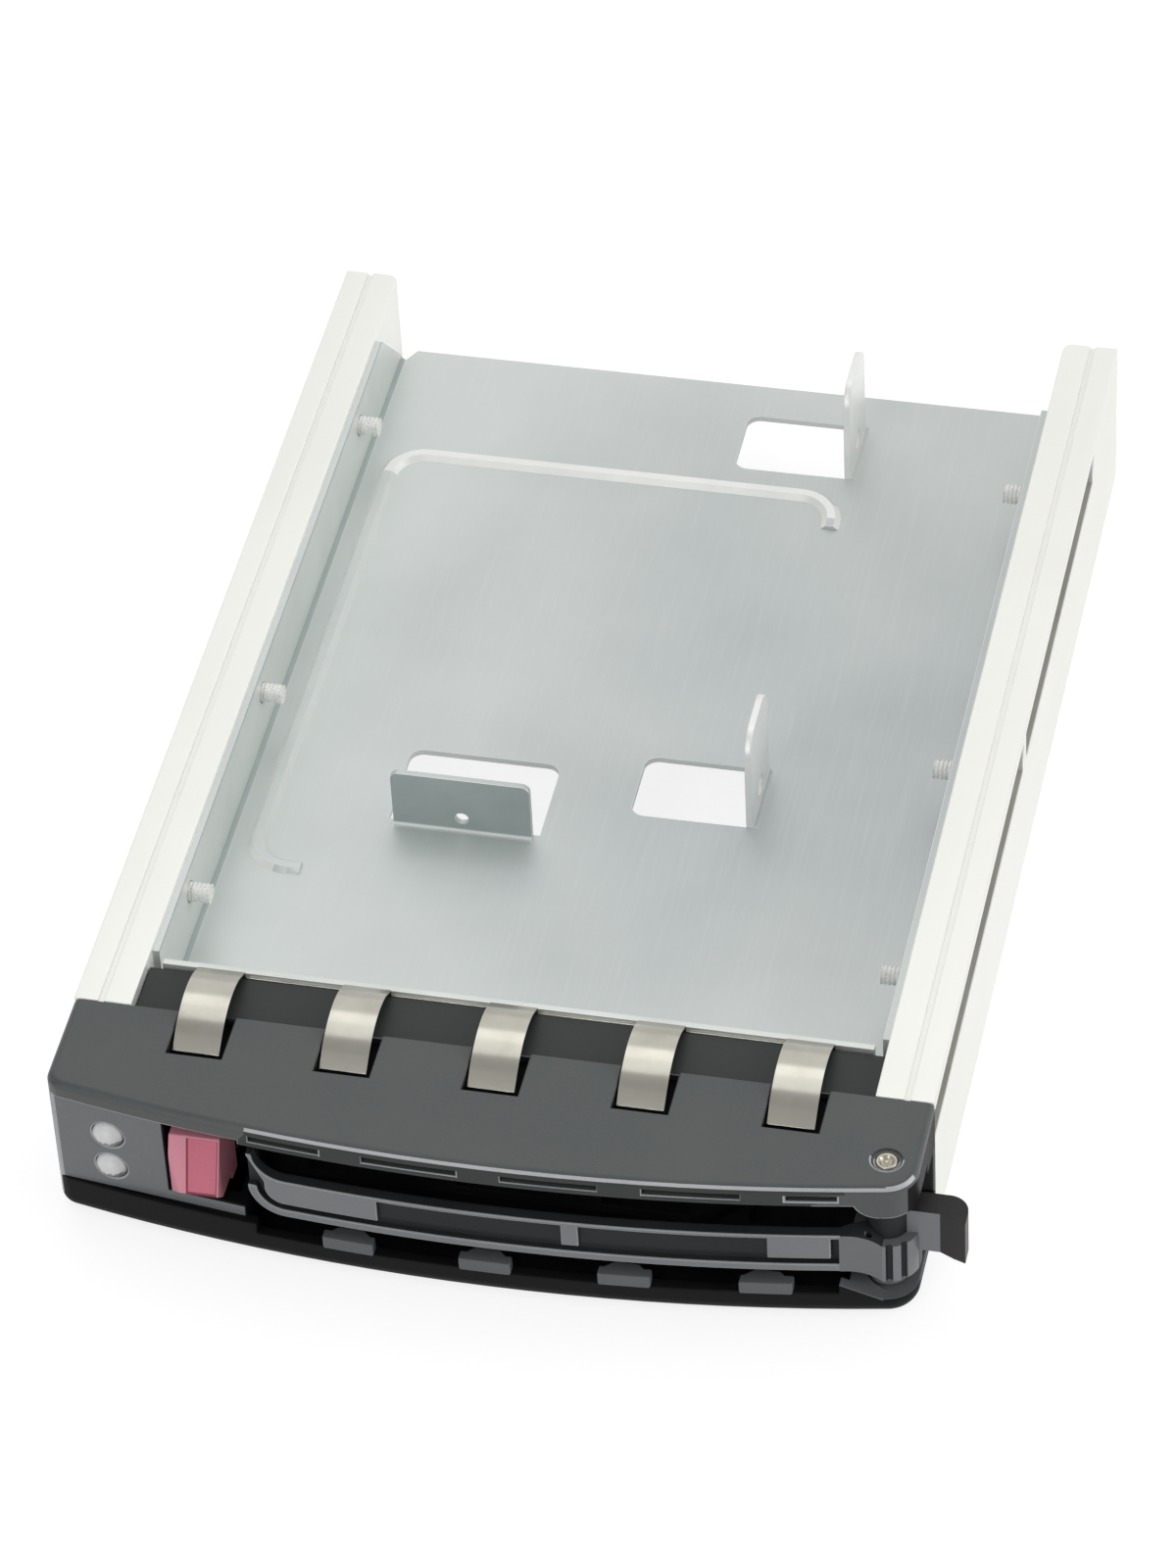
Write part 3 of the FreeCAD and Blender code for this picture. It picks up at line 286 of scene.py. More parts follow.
@dataclass(frozen=True)
class MouldedPlastic:
    """Spark-textured moulded plastic with faint flow marks."""

    name: str
    tone: Colour
    worn_tone: Colour
    roughness: Pair = (0.36, 0.5)
    specular: float = 0.5
    flow: float = 16.0
    grain: float = 0.3
    pit_shade: float = 0.88
    pit_share: float = 0.5
    depth: float = 0.04
    relief: float = 0.3

    def make(self) -> bpy.types.Material:
        """Build the material."""
        graph = Graph(self.name)
        flow = graph.noise(self.flow * MM, detail=4.0)
        grain = graph.noise(self.grain * MM, detail=2.0)
        skin = graph.tones(flow, self.tone, self.worn_tone)
        pit_tone = tuple(self.pit_shade * part for part in self.tone)
        pits = graph.tones(grain, pit_tone, self.worn_tone, start=0.35, end=0.65)
        graph.drive("Base Color", graph.blend(graph.span(grain, 0.0, self.pit_share), skin, pits))
        graph.drive("Roughness", graph.span(flow, *self.roughness))
        graph.constant("Specular IOR Level", self.specular)
        graph.bump(grain, self.depth * MM, self.relief)
        return graph.material


@dataclass(frozen=True)
class PlatedSheet:
    """Rolled sheet or bar metal with clouded plating, fine lines along its grain and a painted sheen that
    can lighten it towards the left.
    """

    name: str
    tone: Colour
    cloud_tone: Colour
    grain: Grain = Grain.ALONG
    cloud: float = 45.0
    line: float = 0.4
    metallic: float = 0.85
    roughness: Pair = (0.38, 0.46)
    specular: float = 0.5
    line_shade: float = 0.95
    line_share: float = 0.18
    depth: float = 0.01
    relief: float = 0.02
    # How far the plating is lightened towards the left as a painted sheen, and over what reach in
    # millimetres.
    painted_sheen: float = 0.0
    painted_sheen_reach: float = 47.0

    def make(self) -> bpy.types.Material:
        """Build the material."""
        graph = Graph(self.name)
        clouds = graph.noise(self.cloud * MM, detail=4.0)
        lines = graph.noise(self.line * MM, where=graph.stretched(self.grain.value))
        # Painted sheen: the plating grows lighter towards the left.
        sheened = graph.with_painted_sheen(clouds, self.painted_sheen_reach * MM, -self.painted_sheen)
        plating = graph.tones(sheened, self.tone, self.cloud_tone)
        drawn = graph.tones(lines, tuple(self.line_shade * part for part in self.cloud_tone), self.tone)
        graph.drive("Base Color", graph.blend(graph.span(lines, 0.0, self.line_share), plating, drawn))
        graph.drive("Roughness", graph.span(clouds, *self.roughness))
        graph.constant("Metallic", self.metallic)
        graph.constant("Specular IOR Level", self.specular)
        graph.bump(lines, self.depth * MM, self.relief)
        return graph.material


@dataclass(frozen=True)
class TurnedSteel:
    """Turned or rolled steel of a small fastener, scuffed."""

    name: str
    tone: Colour
    scuff_tone: Colour
    roughness: Pair = (0.24, 0.38)
    metallic: float = 1.0
    scuff: float = 0.9
    ring: float = 0.25
    depth: float = 0.01
    relief: float = 0.15

    def make(self) -> bpy.types.Material:
        """Build the material."""
        graph = Graph(self.name)
        scuffs = graph.noise(self.scuff * MM, detail=4.0)
        rings = graph.noise(self.ring * MM, detail=2.0)
        graph.drive("Base Color", graph.tones(scuffs, self.tone, self.scuff_tone))
        graph.drive("Roughness", graph.span(rings, *self.roughness))
        graph.constant("Metallic", self.metallic)
        graph.bump(rings, self.depth * MM, self.relief)
        return graph.material


@dataclass(frozen=True)
class ClearMoulding:
    """Clear moulded light pipe, slightly cloudy inside."""

    name: str
    tone: Colour
    cloud_tone: Colour
    haze: float = 1.2
    roughness: Pair = (0.1, 0.22)
    clearness: float = 0.08
    refraction: float = 1.49
    depth: float = 0.03
    relief: float = 0.1

    def make(self) -> bpy.types.Material:
        """Build the material."""
        graph = Graph(self.name)
        haze = graph.noise(self.haze * MM)
        graph.drive("Base Color", graph.tones(haze, self.tone, self.cloud_tone))
        graph.drive("Roughness", graph.span(haze, *self.roughness))
        graph.constant("Transmission Weight", self.clearness)
        graph.constant("IOR", self.refraction)
        graph.bump(haze, self.depth * MM, self.relief)
        return graph.material


Finish = MouldedPlastic | PlatedSheet | TurnedSteel | ClearMoulding

BEZEL_PLASTIC = MouldedPlastic("bezel_skin", (0.064, 0.072, 0.074), (0.086, 0.095, 0.091))
# Painted highlight on the bezel's rounded edges, its brow and its block's outer corner.
BEZEL_HIGHLIGHT = MouldedPlastic("bezel_rim", (0.42, 0.435, 0.45), (0.5, 0.51, 0.52), (0.25, 0.33))
# Painted shade on the bezel's ledge and its upper lip's front, darker and duller than its plastic.
BEZEL_LEDGE_SHADE = MouldedPlastic("bezel_ledge", (0.036, 0.041, 0.041), (0.045, 0.05, 0.049), (0.5, 0.6), 0.3)
# Near-black painted shade on the bezel's lower lip, underside, notches and hollows.
BEZEL_SHADE = MouldedPlastic("bezel_foot", (0.006, 0.0062, 0.007), (0.009, 0.0093, 0.01), (0.5, 0.6), 0.1)
# Painted light on the bezel block's front face.
BEZEL_LIT_FACE = MouldedPlastic("bezel_face", (0.16, 0.168, 0.178), (0.2, 0.208, 0.218))
# Painted light on the lower lip's teeth and on the ramp under the hub.
BEZEL_LIT_TOOTH = MouldedPlastic("bezel_tooth", (0.1, 0.105, 0.11), (0.13, 0.135, 0.14))
LEVER_PANEL = MouldedPlastic("lever_panel", (0.2, 0.212, 0.225), (0.24, 0.25, 0.262))
# Painted highlight on the lever's rounded edges.
LEVER_HIGHLIGHT = MouldedPlastic("lever_rim", (0.32, 0.33, 0.345), (0.38, 0.39, 0.4), (0.25, 0.33))
# Painted shade in the lever's windows, groove, flutes and sleeve and on its hidden side.
LEVER_SHADE = MouldedPlastic("lever_recess", (0.022, 0.025, 0.028), (0.034, 0.037, 0.04), (0.5, 0.6), 0.15)
LEVER_HUB = MouldedPlastic("lever_hub", (0.15, 0.157, 0.167), (0.18, 0.187, 0.195))
CLAW_PLASTIC = MouldedPlastic("claw_plastic", (0.026, 0.024, 0.024), (0.036, 0.033, 0.031), specular=0.2)
BUTTON_FIELD = MouldedPlastic("button_field", (0.7, 0.185, 0.265), (0.76, 0.225, 0.305), specular=0.35)
BUTTON_FRAME = MouldedPlastic("button_frame", (0.82, 0.31, 0.4), (0.87, 0.37, 0.455), specular=0.35)
# Painted shade on the walls of the button's sunk field.
BUTTON_SHADE_LINE = MouldedPlastic("button_line", (0.33, 0.06, 0.095), (0.4, 0.08, 0.12), specular=0.2)
# The pan's plating carries a painted sheen that lightens it towards the left.
PAN_ZINC = PlatedSheet("pan_zinc", (0.68, 0.717, 0.7), (0.48, 0.515, 0.52), cloud=75.0, metallic=0.5,
                       painted_sheen=0.2)
PAN_SHADE = PlatedSheet("pan_shade", (0.44, 0.5, 0.49), (0.38, 0.44, 0.43), cloud=9.0, metallic=0.5)
# Painted light on the pan's broken edges, the bead's inner slopes, the upstand's front and the left flange.
PAN_PAINTED_LIGHT = PlatedSheet("pan_rim", (0.76, 0.79, 0.765), (0.69, 0.72, 0.695), cloud=9.0, metallic=0.5)
# Painted highlight on the pan's side tabs, its rear bead and its left bead's outer slope.
PAN_PAINTED_HIGHLIGHT = PlatedSheet("pan_bright", (0.93, 0.94, 0.92), (0.86, 0.87, 0.85), cloud=9.0, metallic=0.4)
RAIL_ALUMINIUM = PlatedSheet("rail_satin", (0.98, 0.98, 0.935), (0.93, 0.93, 0.88), line=1.6, metallic=0.4)
# Painted highlight on the rails' rounded edges.
RAIL_HIGHLIGHT = PlatedSheet("rail_rim", (0.98, 0.98, 0.95), (0.94, 0.94, 0.9), cloud=9.0, metallic=0.4)
RAIL_SHADE = PlatedSheet("rail_shade", (0.58, 0.58, 0.53), (0.48, 0.48, 0.44), cloud=9.0, metallic=0.2,
                         roughness=(0.5, 0.6), specular=0.2)
FINGER_NICKEL = PlatedSheet("finger_nickel", (0.58, 0.565, 0.5), (0.48, 0.465, 0.4), cloud=6.0,
                            metallic=1.0, roughness=(0.16, 0.22))
# Near-black with no sheen: painted shade that hides the springs in their dark hollows.
SPRING_SHADE = PlatedSheet("spring_blued", (0.012, 0.012, 0.014), (0.008, 0.008, 0.009), Grain.ACROSS,
                           cloud=5.0, metallic=0.0, roughness=(0.7, 0.8), specular=0.0)
PIN_STEEL = TurnedSteel("pin_turned", (0.62, 0.59, 0.49), (0.45, 0.42, 0.34))
SCREW_STEEL = TurnedSteel("screw_plated", (0.97, 0.97, 0.94), (0.84, 0.84, 0.81), metallic=0.35)
LENS_CLEAR = ClearMoulding("lens_clear", (0.96, 0.96, 0.96), (0.88, 0.89, 0.89))
# Painted shade for the lens's lower half.
LENS_SHADE = ClearMoulding("lens_shade", (0.4, 0.41, 0.42), (0.3, 0.31, 0.32))


def deselect() -> None:
    """Leave nothing selected."""
    bpy.ops.object.select_all(action="DESELECT")


def leave_edit() -> None:
    """Go back to object mode."""
    bpy.ops.object.mode_set(mode="OBJECT")


def make_active(piece: Piece) -> None:
    """Select one object alone."""
    deselect()
    piece.select_set(True)
    bpy.context.view_layer.objects.active = piece


def select_faces(piece: Piece, wanted: FaceTest) -> None:
    """Go into edit mode with only some faces selected.

    Args:
        piece: Object to edit.
        wanted: Test of a face's centre in millimetres and its normal.
    """
    if bpy.context.mode != "OBJECT":
        leave_edit()
    make_active(piece)
    bpy.context.tool_settings.mesh_select_mode = (False, False, True)
    bpy.ops.object.mode_set(mode="EDIT")
    bpy.ops.mesh.select_all(action="DESELECT")
    leave_edit()
    for face in piece.data.polygons:
        face.select = wanted(face.center / MM, face.normal)
    bpy.ops.object.mode_set(mode="EDIT")


def select_points(piece: Piece, wanted: PointTest) -> None:
    """Go into edit mode with only some points selected.

    Args:
        piece: Object to edit, in object mode.
        wanted: Test of a point's place in millimetres.
    """
    select_faces(piece, lambda centre, normal: False)
    bpy.context.tool_settings.mesh_select_mode = (True, False, False)
    leave_edit()
    for point in piece.data.vertices:
        point.select = wanted(point.co / MM)
    bpy.ops.object.mode_set(mode="EDIT")


def cut_across(axis: int, places: tuple[float, ...]) -> None:
    """Cut the selected faces with planes square to an axis.

    Args:
        axis: Index of the axis.
        places: Places of the planes along it in millimetres.
    """
    facing = [float(index == axis) for index in range(3)]
    for place in places:
        point = [place * MM * part for part in facing]
        bpy.ops.mesh.bisect(plane_co=point, plane_no=facing)
        bpy.ops.mesh.select_linked()


def inset_rings(rings: tuple[Pair, ...]) -> None:
    """Inset the selected faces ring by ring and leave edit mode.

    Args:
        rings: Width and rise of each ring in millimetres.
    """
    for width, rise in rings:
        bpy.ops.mesh.inset(thickness=width * MM, depth=rise * MM)
    leave_edit()


def extrude(reach: float) -> None:
    """Draw the selected faces out across the tray by a reach in millimetres."""
    bpy.ops.mesh.extrude_region_move(TRANSFORM_OT_translate={"value": (reach * MM, 0.0, 0.0)})


def slot_of(piece: Piece, finish: Finish) -> int:
    """Index of one of a piece's finishes."""
    return piece.data.materials.find(material_of(finish).name)


def paint_faces(piece: Piece, *rules: tuple[Finish, FaceTest]) -> None:
    """Give some faces others of the piece's finishes.

    Args:
        piece: Object to paint, in object mode.
        rules: Finishes in order, each with its test of a face's centre in millimetres and its normal.
    """
    for finish, wanted in rules:
        slot = slot_of(piece, finish)
        for face in piece.data.polygons:
            if wanted(face.center / MM, face.normal):
                face.material_index = slot


@cache
def material_of(finish: Finish) -> bpy.types.Material:
    """Material of a finish, made once."""
    return finish.make()


def dress(piece: Piece, *finishes: Finish) -> None:
    """Give a piece its finishes, the main one first and that of its broken edges second."""
    piece.data.materials.clear()
    for finish in finishes:
        piece.data.materials.append(material_of(finish))


def seat(piece: Piece, body: Body, slot: str, *nodes: str) -> Piece:
    """Let a piece ride on a body in place of the solids that it stands for.

    Args:
        piece: Finished piece.
        body: Body that carries it.
        slot: The record's material slot; not used.
        nodes: Solids that it stands for.

    Returns:
        The same piece.
    """
    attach(piece, body.value)
    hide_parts(*nodes)
    LOG.info("%s rides on %s for %s", piece.name, body.value, ", ".join(nodes))
    return piece


def copy_of(node: str, name: str) -> Piece:
    """Copy a solid's mesh as a welded piece of whole faces.

    Args:
        node: Name of the solid.
        name: Name of the new piece.

    Returns:
        The new piece, in object mode.
    """
    make_active(frame["nodes"][node])
    bpy.ops.object.duplicate()
    piece = bpy.context.active_object
    bpy.ops.object.parent_clear(type="CLEAR_KEEP_TRANSFORM")
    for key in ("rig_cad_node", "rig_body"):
        del piece[key]
    piece.name = name
    piece.data.name = name
    bpy.ops.object.mode_set(mode="EDIT")
    bpy.ops.mesh.select_all(action="SELECT")
    bpy.ops.mesh.remove_doubles(threshold=WELD * MM)
    bpy.ops.mesh.customdata_custom_splitnormals_clear()
    bpy.ops.mesh.dissolve_limited(angle_limit=math.radians(FLAT))
    leave_edit()
    return piece


def break_edges(piece: Piece, width: float, sharpest: float = 28.0, segments: int = 2,
                where: PointTest = lambda middle: True) -> None:
    """Round the outer edges of a piece, with its second finish on the rounding.

    Args:
        piece: Piece in object mode.
        width: Width of the rounding in millimetres.
        sharpest: Least angle in degrees between two faces that makes an edge.
        segments: Faces across the rounding.
        where: Test of an edge's middle in millimetres.
    """
    make_active(piece)
    weights = piece.data.attributes.new("bevel_weight_edge", "FLOAT", "EDGE")
    scan = bmesh.new()
    scan.from_mesh(piece.data)
    for edge in scan.edges:
        outer = len(edge.link_faces) == 2 and edge.calc_face_angle_signed() > math.radians(sharpest)
        middle = (edge.verts[0].co + edge.verts[1].co) / (2 * MM)
        weights.data[edge.index].value = 1.0 if outer and where(middle) else 0.0
    scan.free()
    bpy.ops.object.modifier_add(type="BEVEL")
    bevel = piece.modifiers[-1]
    bevel.limit_method = "WEIGHT"
    bevel.width = width * MM
    bevel.segments = segments
    bevel.use_clamp_overlap = False
    bevel.loop_slide = True
    bevel.material = RIM_SLOT
    bpy.ops.object.modifier_apply(modifier=bevel.name)
    smooth(piece)


def smooth(piece: Piece, angle: float = 40.0) -> None:
    """Shade a piece smooth below an angle, with its large faces kept flat.

    Args:
        piece: Piece in object mode.
        angle: Angle in degrees past which an edge stays sharp.
    """
    make_active(piece)
    bpy.ops.object.shade_smooth_by_angle(angle=math.radians(angle))
    bpy.ops.object.modifier_add(type="WEIGHTED_NORMAL")
    weighted = piece.modifiers[-1]
    weighted.keep_sharp = True
    weighted.weight = FLAT_WEIGHT
    bpy.ops.object.modifier_apply(modifier=weighted.name)


def bow(x: float) -> float:
    """Depth in millimetres of the bezel's bowed front at a place across."""
    return BOW_RADIUS - BOW_FRONT - math.sqrt(BOW_RADIUS * BOW_RADIUS - x * x)


@dataclass
class BezelMoulding:
    """Front bezel: painted highlights on its rims, painted light on the button block and the teeth, and
    painted shade on a dull ledge, the upper lip, the lower lip, the notches and the hollows.
    """

    node: str = "bezel"
    edge: float = 0.25
    foot_top: float = 6.6
    foot_back: float = -1.0
    block_right: float = -31.5
    block_top: float = 22.5
    lip_levels: Pair = (20.0, 24.5)
    ledge_front: float = 0.2
    rims_back: float = -11.0
    hollow_left: float = -43.0
    hollow_front: float = 1.0
    hollow_rear: float = -1.0
    hollow_top: float = 22.3
    notch_reach: float = 48.0
    notch_floor: float = 12.0
    notch_top: float = 24.0
    brow_left: float = -32.0
    brow_low: float = 22.8
    corner_left: float = -54.0
    ramp_left: float = 48.5
    ramp_foot: float = 3.0
    wall_facing: float = 0.95
    notch_left_shift: float = 1.2
    notch_right_shift: float = -0.4
    teeth: tuple[float, ...] = (-17.3, 1.7, 20.7, 39.7)
    tooth_reach: float = 4.4
    tooth_foot: float = 4.4
    tooth_depth: Pair = (-0.5, 3.0)

    def build(self) -> Piece:
        """Make the bezel and put it on the tray."""
        piece = copy_of(self.node, "bezel_moulding")
        dress(piece, BEZEL_PLASTIC, BEZEL_HIGHLIGHT, BEZEL_LIT_FACE, BEZEL_LEDGE_SHADE, BEZEL_SHADE, BEZEL_LIT_TOOTH)
        # Painted light on the block's front face.
        paint_faces(piece, (BEZEL_LIT_FACE, self.on_block))
        self.narrow_notches(piece)
        break_edges(piece, self.edge)
        # Painted highlights stay on the front rims and the brow; painted shade goes on the ledge, the upper
        # lip, the hollows, the notches and the lower lip, and painted light on the teeth and the ramp.
        paint_faces(
            piece,
            (BEZEL_PLASTIC, lambda centre, normal: centre.y > self.rims_back),
            (BEZEL_LEDGE_SHADE, lambda centre, normal: centre.y > self.ledge_front),
            (BEZEL_LEDGE_SHADE, self.on_lip),
            (BEZEL_HIGHLIGHT, self.on_brow_highlight),
            (BEZEL_SHADE, self.in_hollow),
            (BEZEL_SHADE, self.in_notch),
            (BEZEL_SHADE, self.on_foot),
            (BEZEL_LIT_TOOTH, self.on_tooth))
        return seat(piece, Body.TRAY, "bezel_plastic", self.node)

    def narrow_notches(self, piece: Piece) -> None:
        """Bring the notches' walls closer to the fingers."""
        for facing, shift in ((1, self.notch_left_shift), (-1, self.notch_right_shift)):
            select_faces(piece, lambda centre, normal: (
                normal.x * facing > self.wall_facing and self.in_notch(centre, normal)))
            bpy.ops.transform.translate(value=(shift * MM, 0.0, 0.0))
        leave_edit()

    def on_block(self, centre: Vector, normal: Vector) -> bool:
        """True on the front face around the lenses and the button."""
        return centre.x < self.block_right and normal.y < -0.6 and self.foot_top < centre.z < self.block_top

    def on_lip(self, centre: Vector, normal: Vector) -> bool:
        """True on the upper lip's front between its slots."""
        low, high = self.lip_levels
        across = self.brow_left < centre.x < self.ramp_left
        return across and normal.y < -FACING and low < centre.z < high

    def on_brow_highlight(self, centre: Vector, normal: Vector) -> bool:
        """True where a highlight is painted: on the brow's rounding and on the block's outer corner."""
        brow = centre.x > self.brow_left and centre.z > self.brow_low
        rounding = brow and 0.45 < normal.z < 0.8 and normal.y < -0.2
        corner = centre.x < self.corner_left and -0.8 < normal.x < -0.25 and normal.y < -0.3
        return rounding or corner and self.foot_top < centre.z < self.brow_low

    def in_notch(self, centre: Vector, normal: Vector) -> bool:
        """True in the notches that the fingers dip into."""
        inside = abs(centre.x) < self.notch_reach and self.rims_back < centre.y < self.ledge_front
        return inside and self.notch_floor < centre.z < self.notch_top

    def in_hollow(self, centre: Vector, normal: Vector) -> bool:
        """True on the walls of the hollows behind the lever and the button."""
        deep = bow(centre.x) + self.hollow_front < centre.y < self.hollow_rear
        return deep and centre.x > self.hollow_left and centre.z < self.hollow_top

    def on_foot(self, centre: Vector, normal: Vector) -> bool:
        """True on the lower lip and on the underside."""
        return centre.z < self.foot_top and centre.y < self.foot_back

    def on_tooth(self, centre: Vector, normal: Vector) -> bool:
        """True on the lower lip's teeth and on the ramp under the hub."""
        near, far = self.tooth_depth
        across = any(abs(centre.x - tooth) < self.tooth_reach for tooth in self.teeth)
        front = bow(centre.x) + near < centre.y < bow(centre.x) + far
        tooth = across and front and self.tooth_foot < centre.z < self.foot_top and normal.z > -0.1
        ramp = self.ramp_left < centre.x and self.ramp_foot < centre.z < self.foot_top
        return tooth or ramp and normal.z > 0.4


@dataclass
class PullLever:
    """Pull lever: pale panels, painted highlights on its rims and the hub's ridges, painted shade in its
    windows, groove, flutes and sleeve, a darker hub and a brownish claw.
    """

    node: str = "lever"
    edge: float = 0.2
    sharpest: float = 36.0
    setback: float = 0.4
    sunk: float = 0.45
    plate_right: float = 49.6
    hub_top: float = 12.9
    neck_left: float = 59.4
    claw_left: float = 61.8
    pivot: Pair = (55.0, -11.2)
    hub_radius: float = 4.5
    hub_skin: float = 0.12
    flute_depth: float = 1.2
    upright: float = 0.3

    def build(self) -> Piece:
        """Make the lever and hang it on its body."""
        piece = copy_of(self.node, "pull_lever")
        dress(piece, LEVER_PANEL, LEVER_HIGHLIGHT, LEVER_SHADE, CLAW_PLASTIC, LEVER_HUB)
        # Painted shade in the windows, groove, flutes and sleeve; the panels' paler tone paints highlights
        # on the hub's ridges.
        paint_faces(
            piece,
            (LEVER_SHADE, self.in_recess),
            (LEVER_HUB, lambda centre, normal: self.plate_right < centre.x < self.neck_left),
            (LEVER_PANEL, self.on_grip),
            (LEVER_SHADE, self.in_flute),
            (LEVER_SHADE, self.on_sleeve),
            (CLAW_PLASTIC, self.on_claw))
        break_edges(piece, self.edge, self.sharpest, where=lambda middle: middle.x < self.plate_right)
        # Painted shade again over the highlight rims inside the recesses.
        paint_faces(piece, (LEVER_SHADE, self.in_recess))
        return seat(piece, Body.LEVER, "lever_plastic", self.node)

    def reach(self, centre: Vector) -> float:
        """Distance of a place from the pivot's axis."""
        return math.hypot(centre.x - self.pivot[0], centre.y - self.pivot[1])

    def on_grip(self, centre: Vector, normal: Vector) -> bool:
        """True on the hub's round front between its flutes."""
        skin = abs(self.reach(centre) - self.hub_radius) < self.hub_skin
        return skin and abs(normal.z) < self.upright and normal.y < 0.0

    def in_flute(self, centre: Vector, normal: Vector) -> bool:
        """True in the hub's flutes."""
        near = self.hub_radius - self.flute_depth < self.reach(centre) < self.hub_radius - self.hub_skin
        return near and abs(normal.z) < self.upright and centre.z < self.hub_top and normal.y < 0.3

    def on_claw(self, centre: Vector, normal: Vector) -> bool:
        """True on the claw, and on its neck apart from the neck's front."""
        front = centre.x < self.claw_left and normal.y < -0.5
        return centre.x > self.neck_left and not front

    def on_sleeve(self, centre: Vector, normal: Vector) -> bool:
        """True on the sleeve above the hub."""
        return self.plate_right < centre.x < self.neck_left and centre.z > self.hub_top

    def in_recess(self, centre: Vector, normal: Vector) -> bool:
        """True on the windows' floors, in the groove and on the lever's hidden side."""
        return centre.x < self.plate_right and centre.y > bow(centre.x) + self.setback + self.sunk


@dataclass
class ReleaseButton:
    """Release button: a sunk field in a paler frame, and a catch on its right."""

    node: str = "release_button"
    edge: float = 0.25
    top_depth: float = 0.6
    top_drop: float = 1.3
    right_wall: float = -33.7
    right_shift: float = -1.4
    foot_left: float = -38.0
    foot_top: float = 8.2
    foot_lift: float = 1.3
    field_x: Pair = (-39.7, -35.9)
    field_z: Pair = (9.6, 17.9)
    line_width: float = 0.22
    sink: float = 0.3
    catch_z: Pair = (12.6, 15.2)
    catch_y: Pair = (-17.6, -15.6)
    catch_reach: float = 1.0
    wall_depth: float = 0.8
    front: float = -15.0
    front_facing: float = 0.8

    def build(self) -> Piece:
        """Make the button and put it on its body."""
        piece = copy_of(self.node, "release_button_cap")
        dress(piece, BUTTON_FRAME, BUTTON_FRAME, BUTTON_SHADE_LINE, BUTTON_FIELD)
        self.trim(piece)
        self.draw_catch(piece)
        break_edges(piece, self.edge)
        self.sink_field(piece)
        smooth(piece)
        return seat(piece, Body.BUTTON, "button_plastic", self.node)

    def trim(self, piece: Piece) -> None:
        """Lower the top, bring in the right wall and lift the foot's right end."""
        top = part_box(self.node)[1].z / MM - self.top_depth
        moves: tuple[tuple[PointTest, Triple], ...] = (
            (lambda place: place.z > top, (0.0, 0.0, -self.top_drop)),
            (lambda place: place.x > self.right_wall, (self.right_shift, 0.0, 0.0)),
            (self.on_foot, (0.0, 0.0, self.foot_lift)),
        )
        for wanted, shift in moves:
            select_points(piece, wanted)
            bpy.ops.transform.translate(value=tuple(step * MM for step in shift))
            leave_edit()

    def on_foot(self, place: Vector) -> bool:
        """True at the foot's right end."""
        return place.x > self.foot_left and place.z < self.foot_top

    def draw_catch(self, piece: Piece) -> None:
        """Draw the catch out of the right wall."""
        select_faces(piece, lambda centre, normal: normal.x > FACING)
        for axis, places in ((1, self.catch_y), (2, self.catch_z)):
            cut_across(axis, places)
        wall = self.right_wall + self.right_shift - self.wall_depth

        def on_catch(centre: Vector, normal: Vector) -> bool:
            """True on the part of the wall that the catch is drawn from."""
            along = self.catch_y[0] < centre.y < self.catch_y[1]
            level = self.catch_z[0] < centre.z < self.catch_z[1]
            return normal.x > FACING and centre.x > wall and along and level

        select_faces(piece, on_catch)
        extrude(self.catch_reach)
        leave_edit()

    def on_front(self, normal: Vector) -> bool:
        """True where the button faces the user."""
        return normal.y < -self.front_facing

    def sink_field(self, piece: Piece) -> None:
        """Sink the field into the front, with painted shade on the thin walls around it."""
        select_faces(piece, lambda centre, normal: self.on_front(normal) and centre.y < self.front)
        for axis, places in ((0, self.field_x), (2, self.field_z)):
            cut_across(axis, places)

        def in_field(centre: Vector, normal: Vector) -> bool:
            """True on the part of the front that is sunk."""
            across = self.field_x[0] < centre.x < self.field_x[1]
            return self.on_front(normal) and across and self.field_z[0] < centre.z < self.field_z[1]

        select_faces(piece, in_field)
        piece.active_material_index = slot_of(piece, BUTTON_SHADE_LINE)
        bpy.ops.object.material_slot_assign()
        bpy.ops.mesh.inset(thickness=self.line_width * MM, depth=-self.sink * MM)
        piece.active_material_index = slot_of(piece, BUTTON_FIELD)
        bpy.ops.object.material_slot_assign()
        leave_edit()


@dataclass
class LightPipe:
    """Clear light pipe whose lens bulges out of the bezel."""

    node: str
    lens_front: float = -17.2
    rings: tuple[Pair, ...] = ((0.25, 0.22), (0.4, 0.18), (0.45, 0.11), (0.4, 0.03))
    face_depth: float = 0.05
    shade_depth: float = 0.5
    shading: float = 50.0

    def build(self) -> Piece:
        """Make the light pipe and put it on the tray."""
        piece = copy_of(self.node, f"{self.node}_moulding")
        dress(piece, LENS_CLEAR, LENS_SHADE)
        select_faces(piece, lambda centre, normal: (
            normal.y < -SQUARE and abs(centre.y - self.lens_front) < self.face_depth))
        inset_rings(self.rings)
        # Painted shade on the lens's lower half.
        paint_faces(piece, (LENS_SHADE, self.on_lens_foot))
        smooth(piece, self.shading)
        return seat(piece, Body.TRAY, "light_pipe_plastic", self.node)

    def on_lens_foot(self, centre: Vector, normal: Vector) -> bool:
        """True on the lens's lower half."""
        return centre.y < self.lens_front + self.shade_depth and normal.z < -0.2


@dataclass
class ShieldStrip:
    """Nickelled strip with five arched fingers."""

    node: str = "shield_strip"
    edge: float = 0.06
    sharpest: float = 60.0

    def build(self) -> Piece:
        """Make the strip and put it on the tray."""
        piece = copy_of(self.node, "shield_fingers")
        dress(piece, FINGER_NICKEL, FINGER_NICKEL)
        break_edges(piece, self.edge, self.sharpest)
        return seat(piece, Body.TRAY, "finger_steel", self.node)


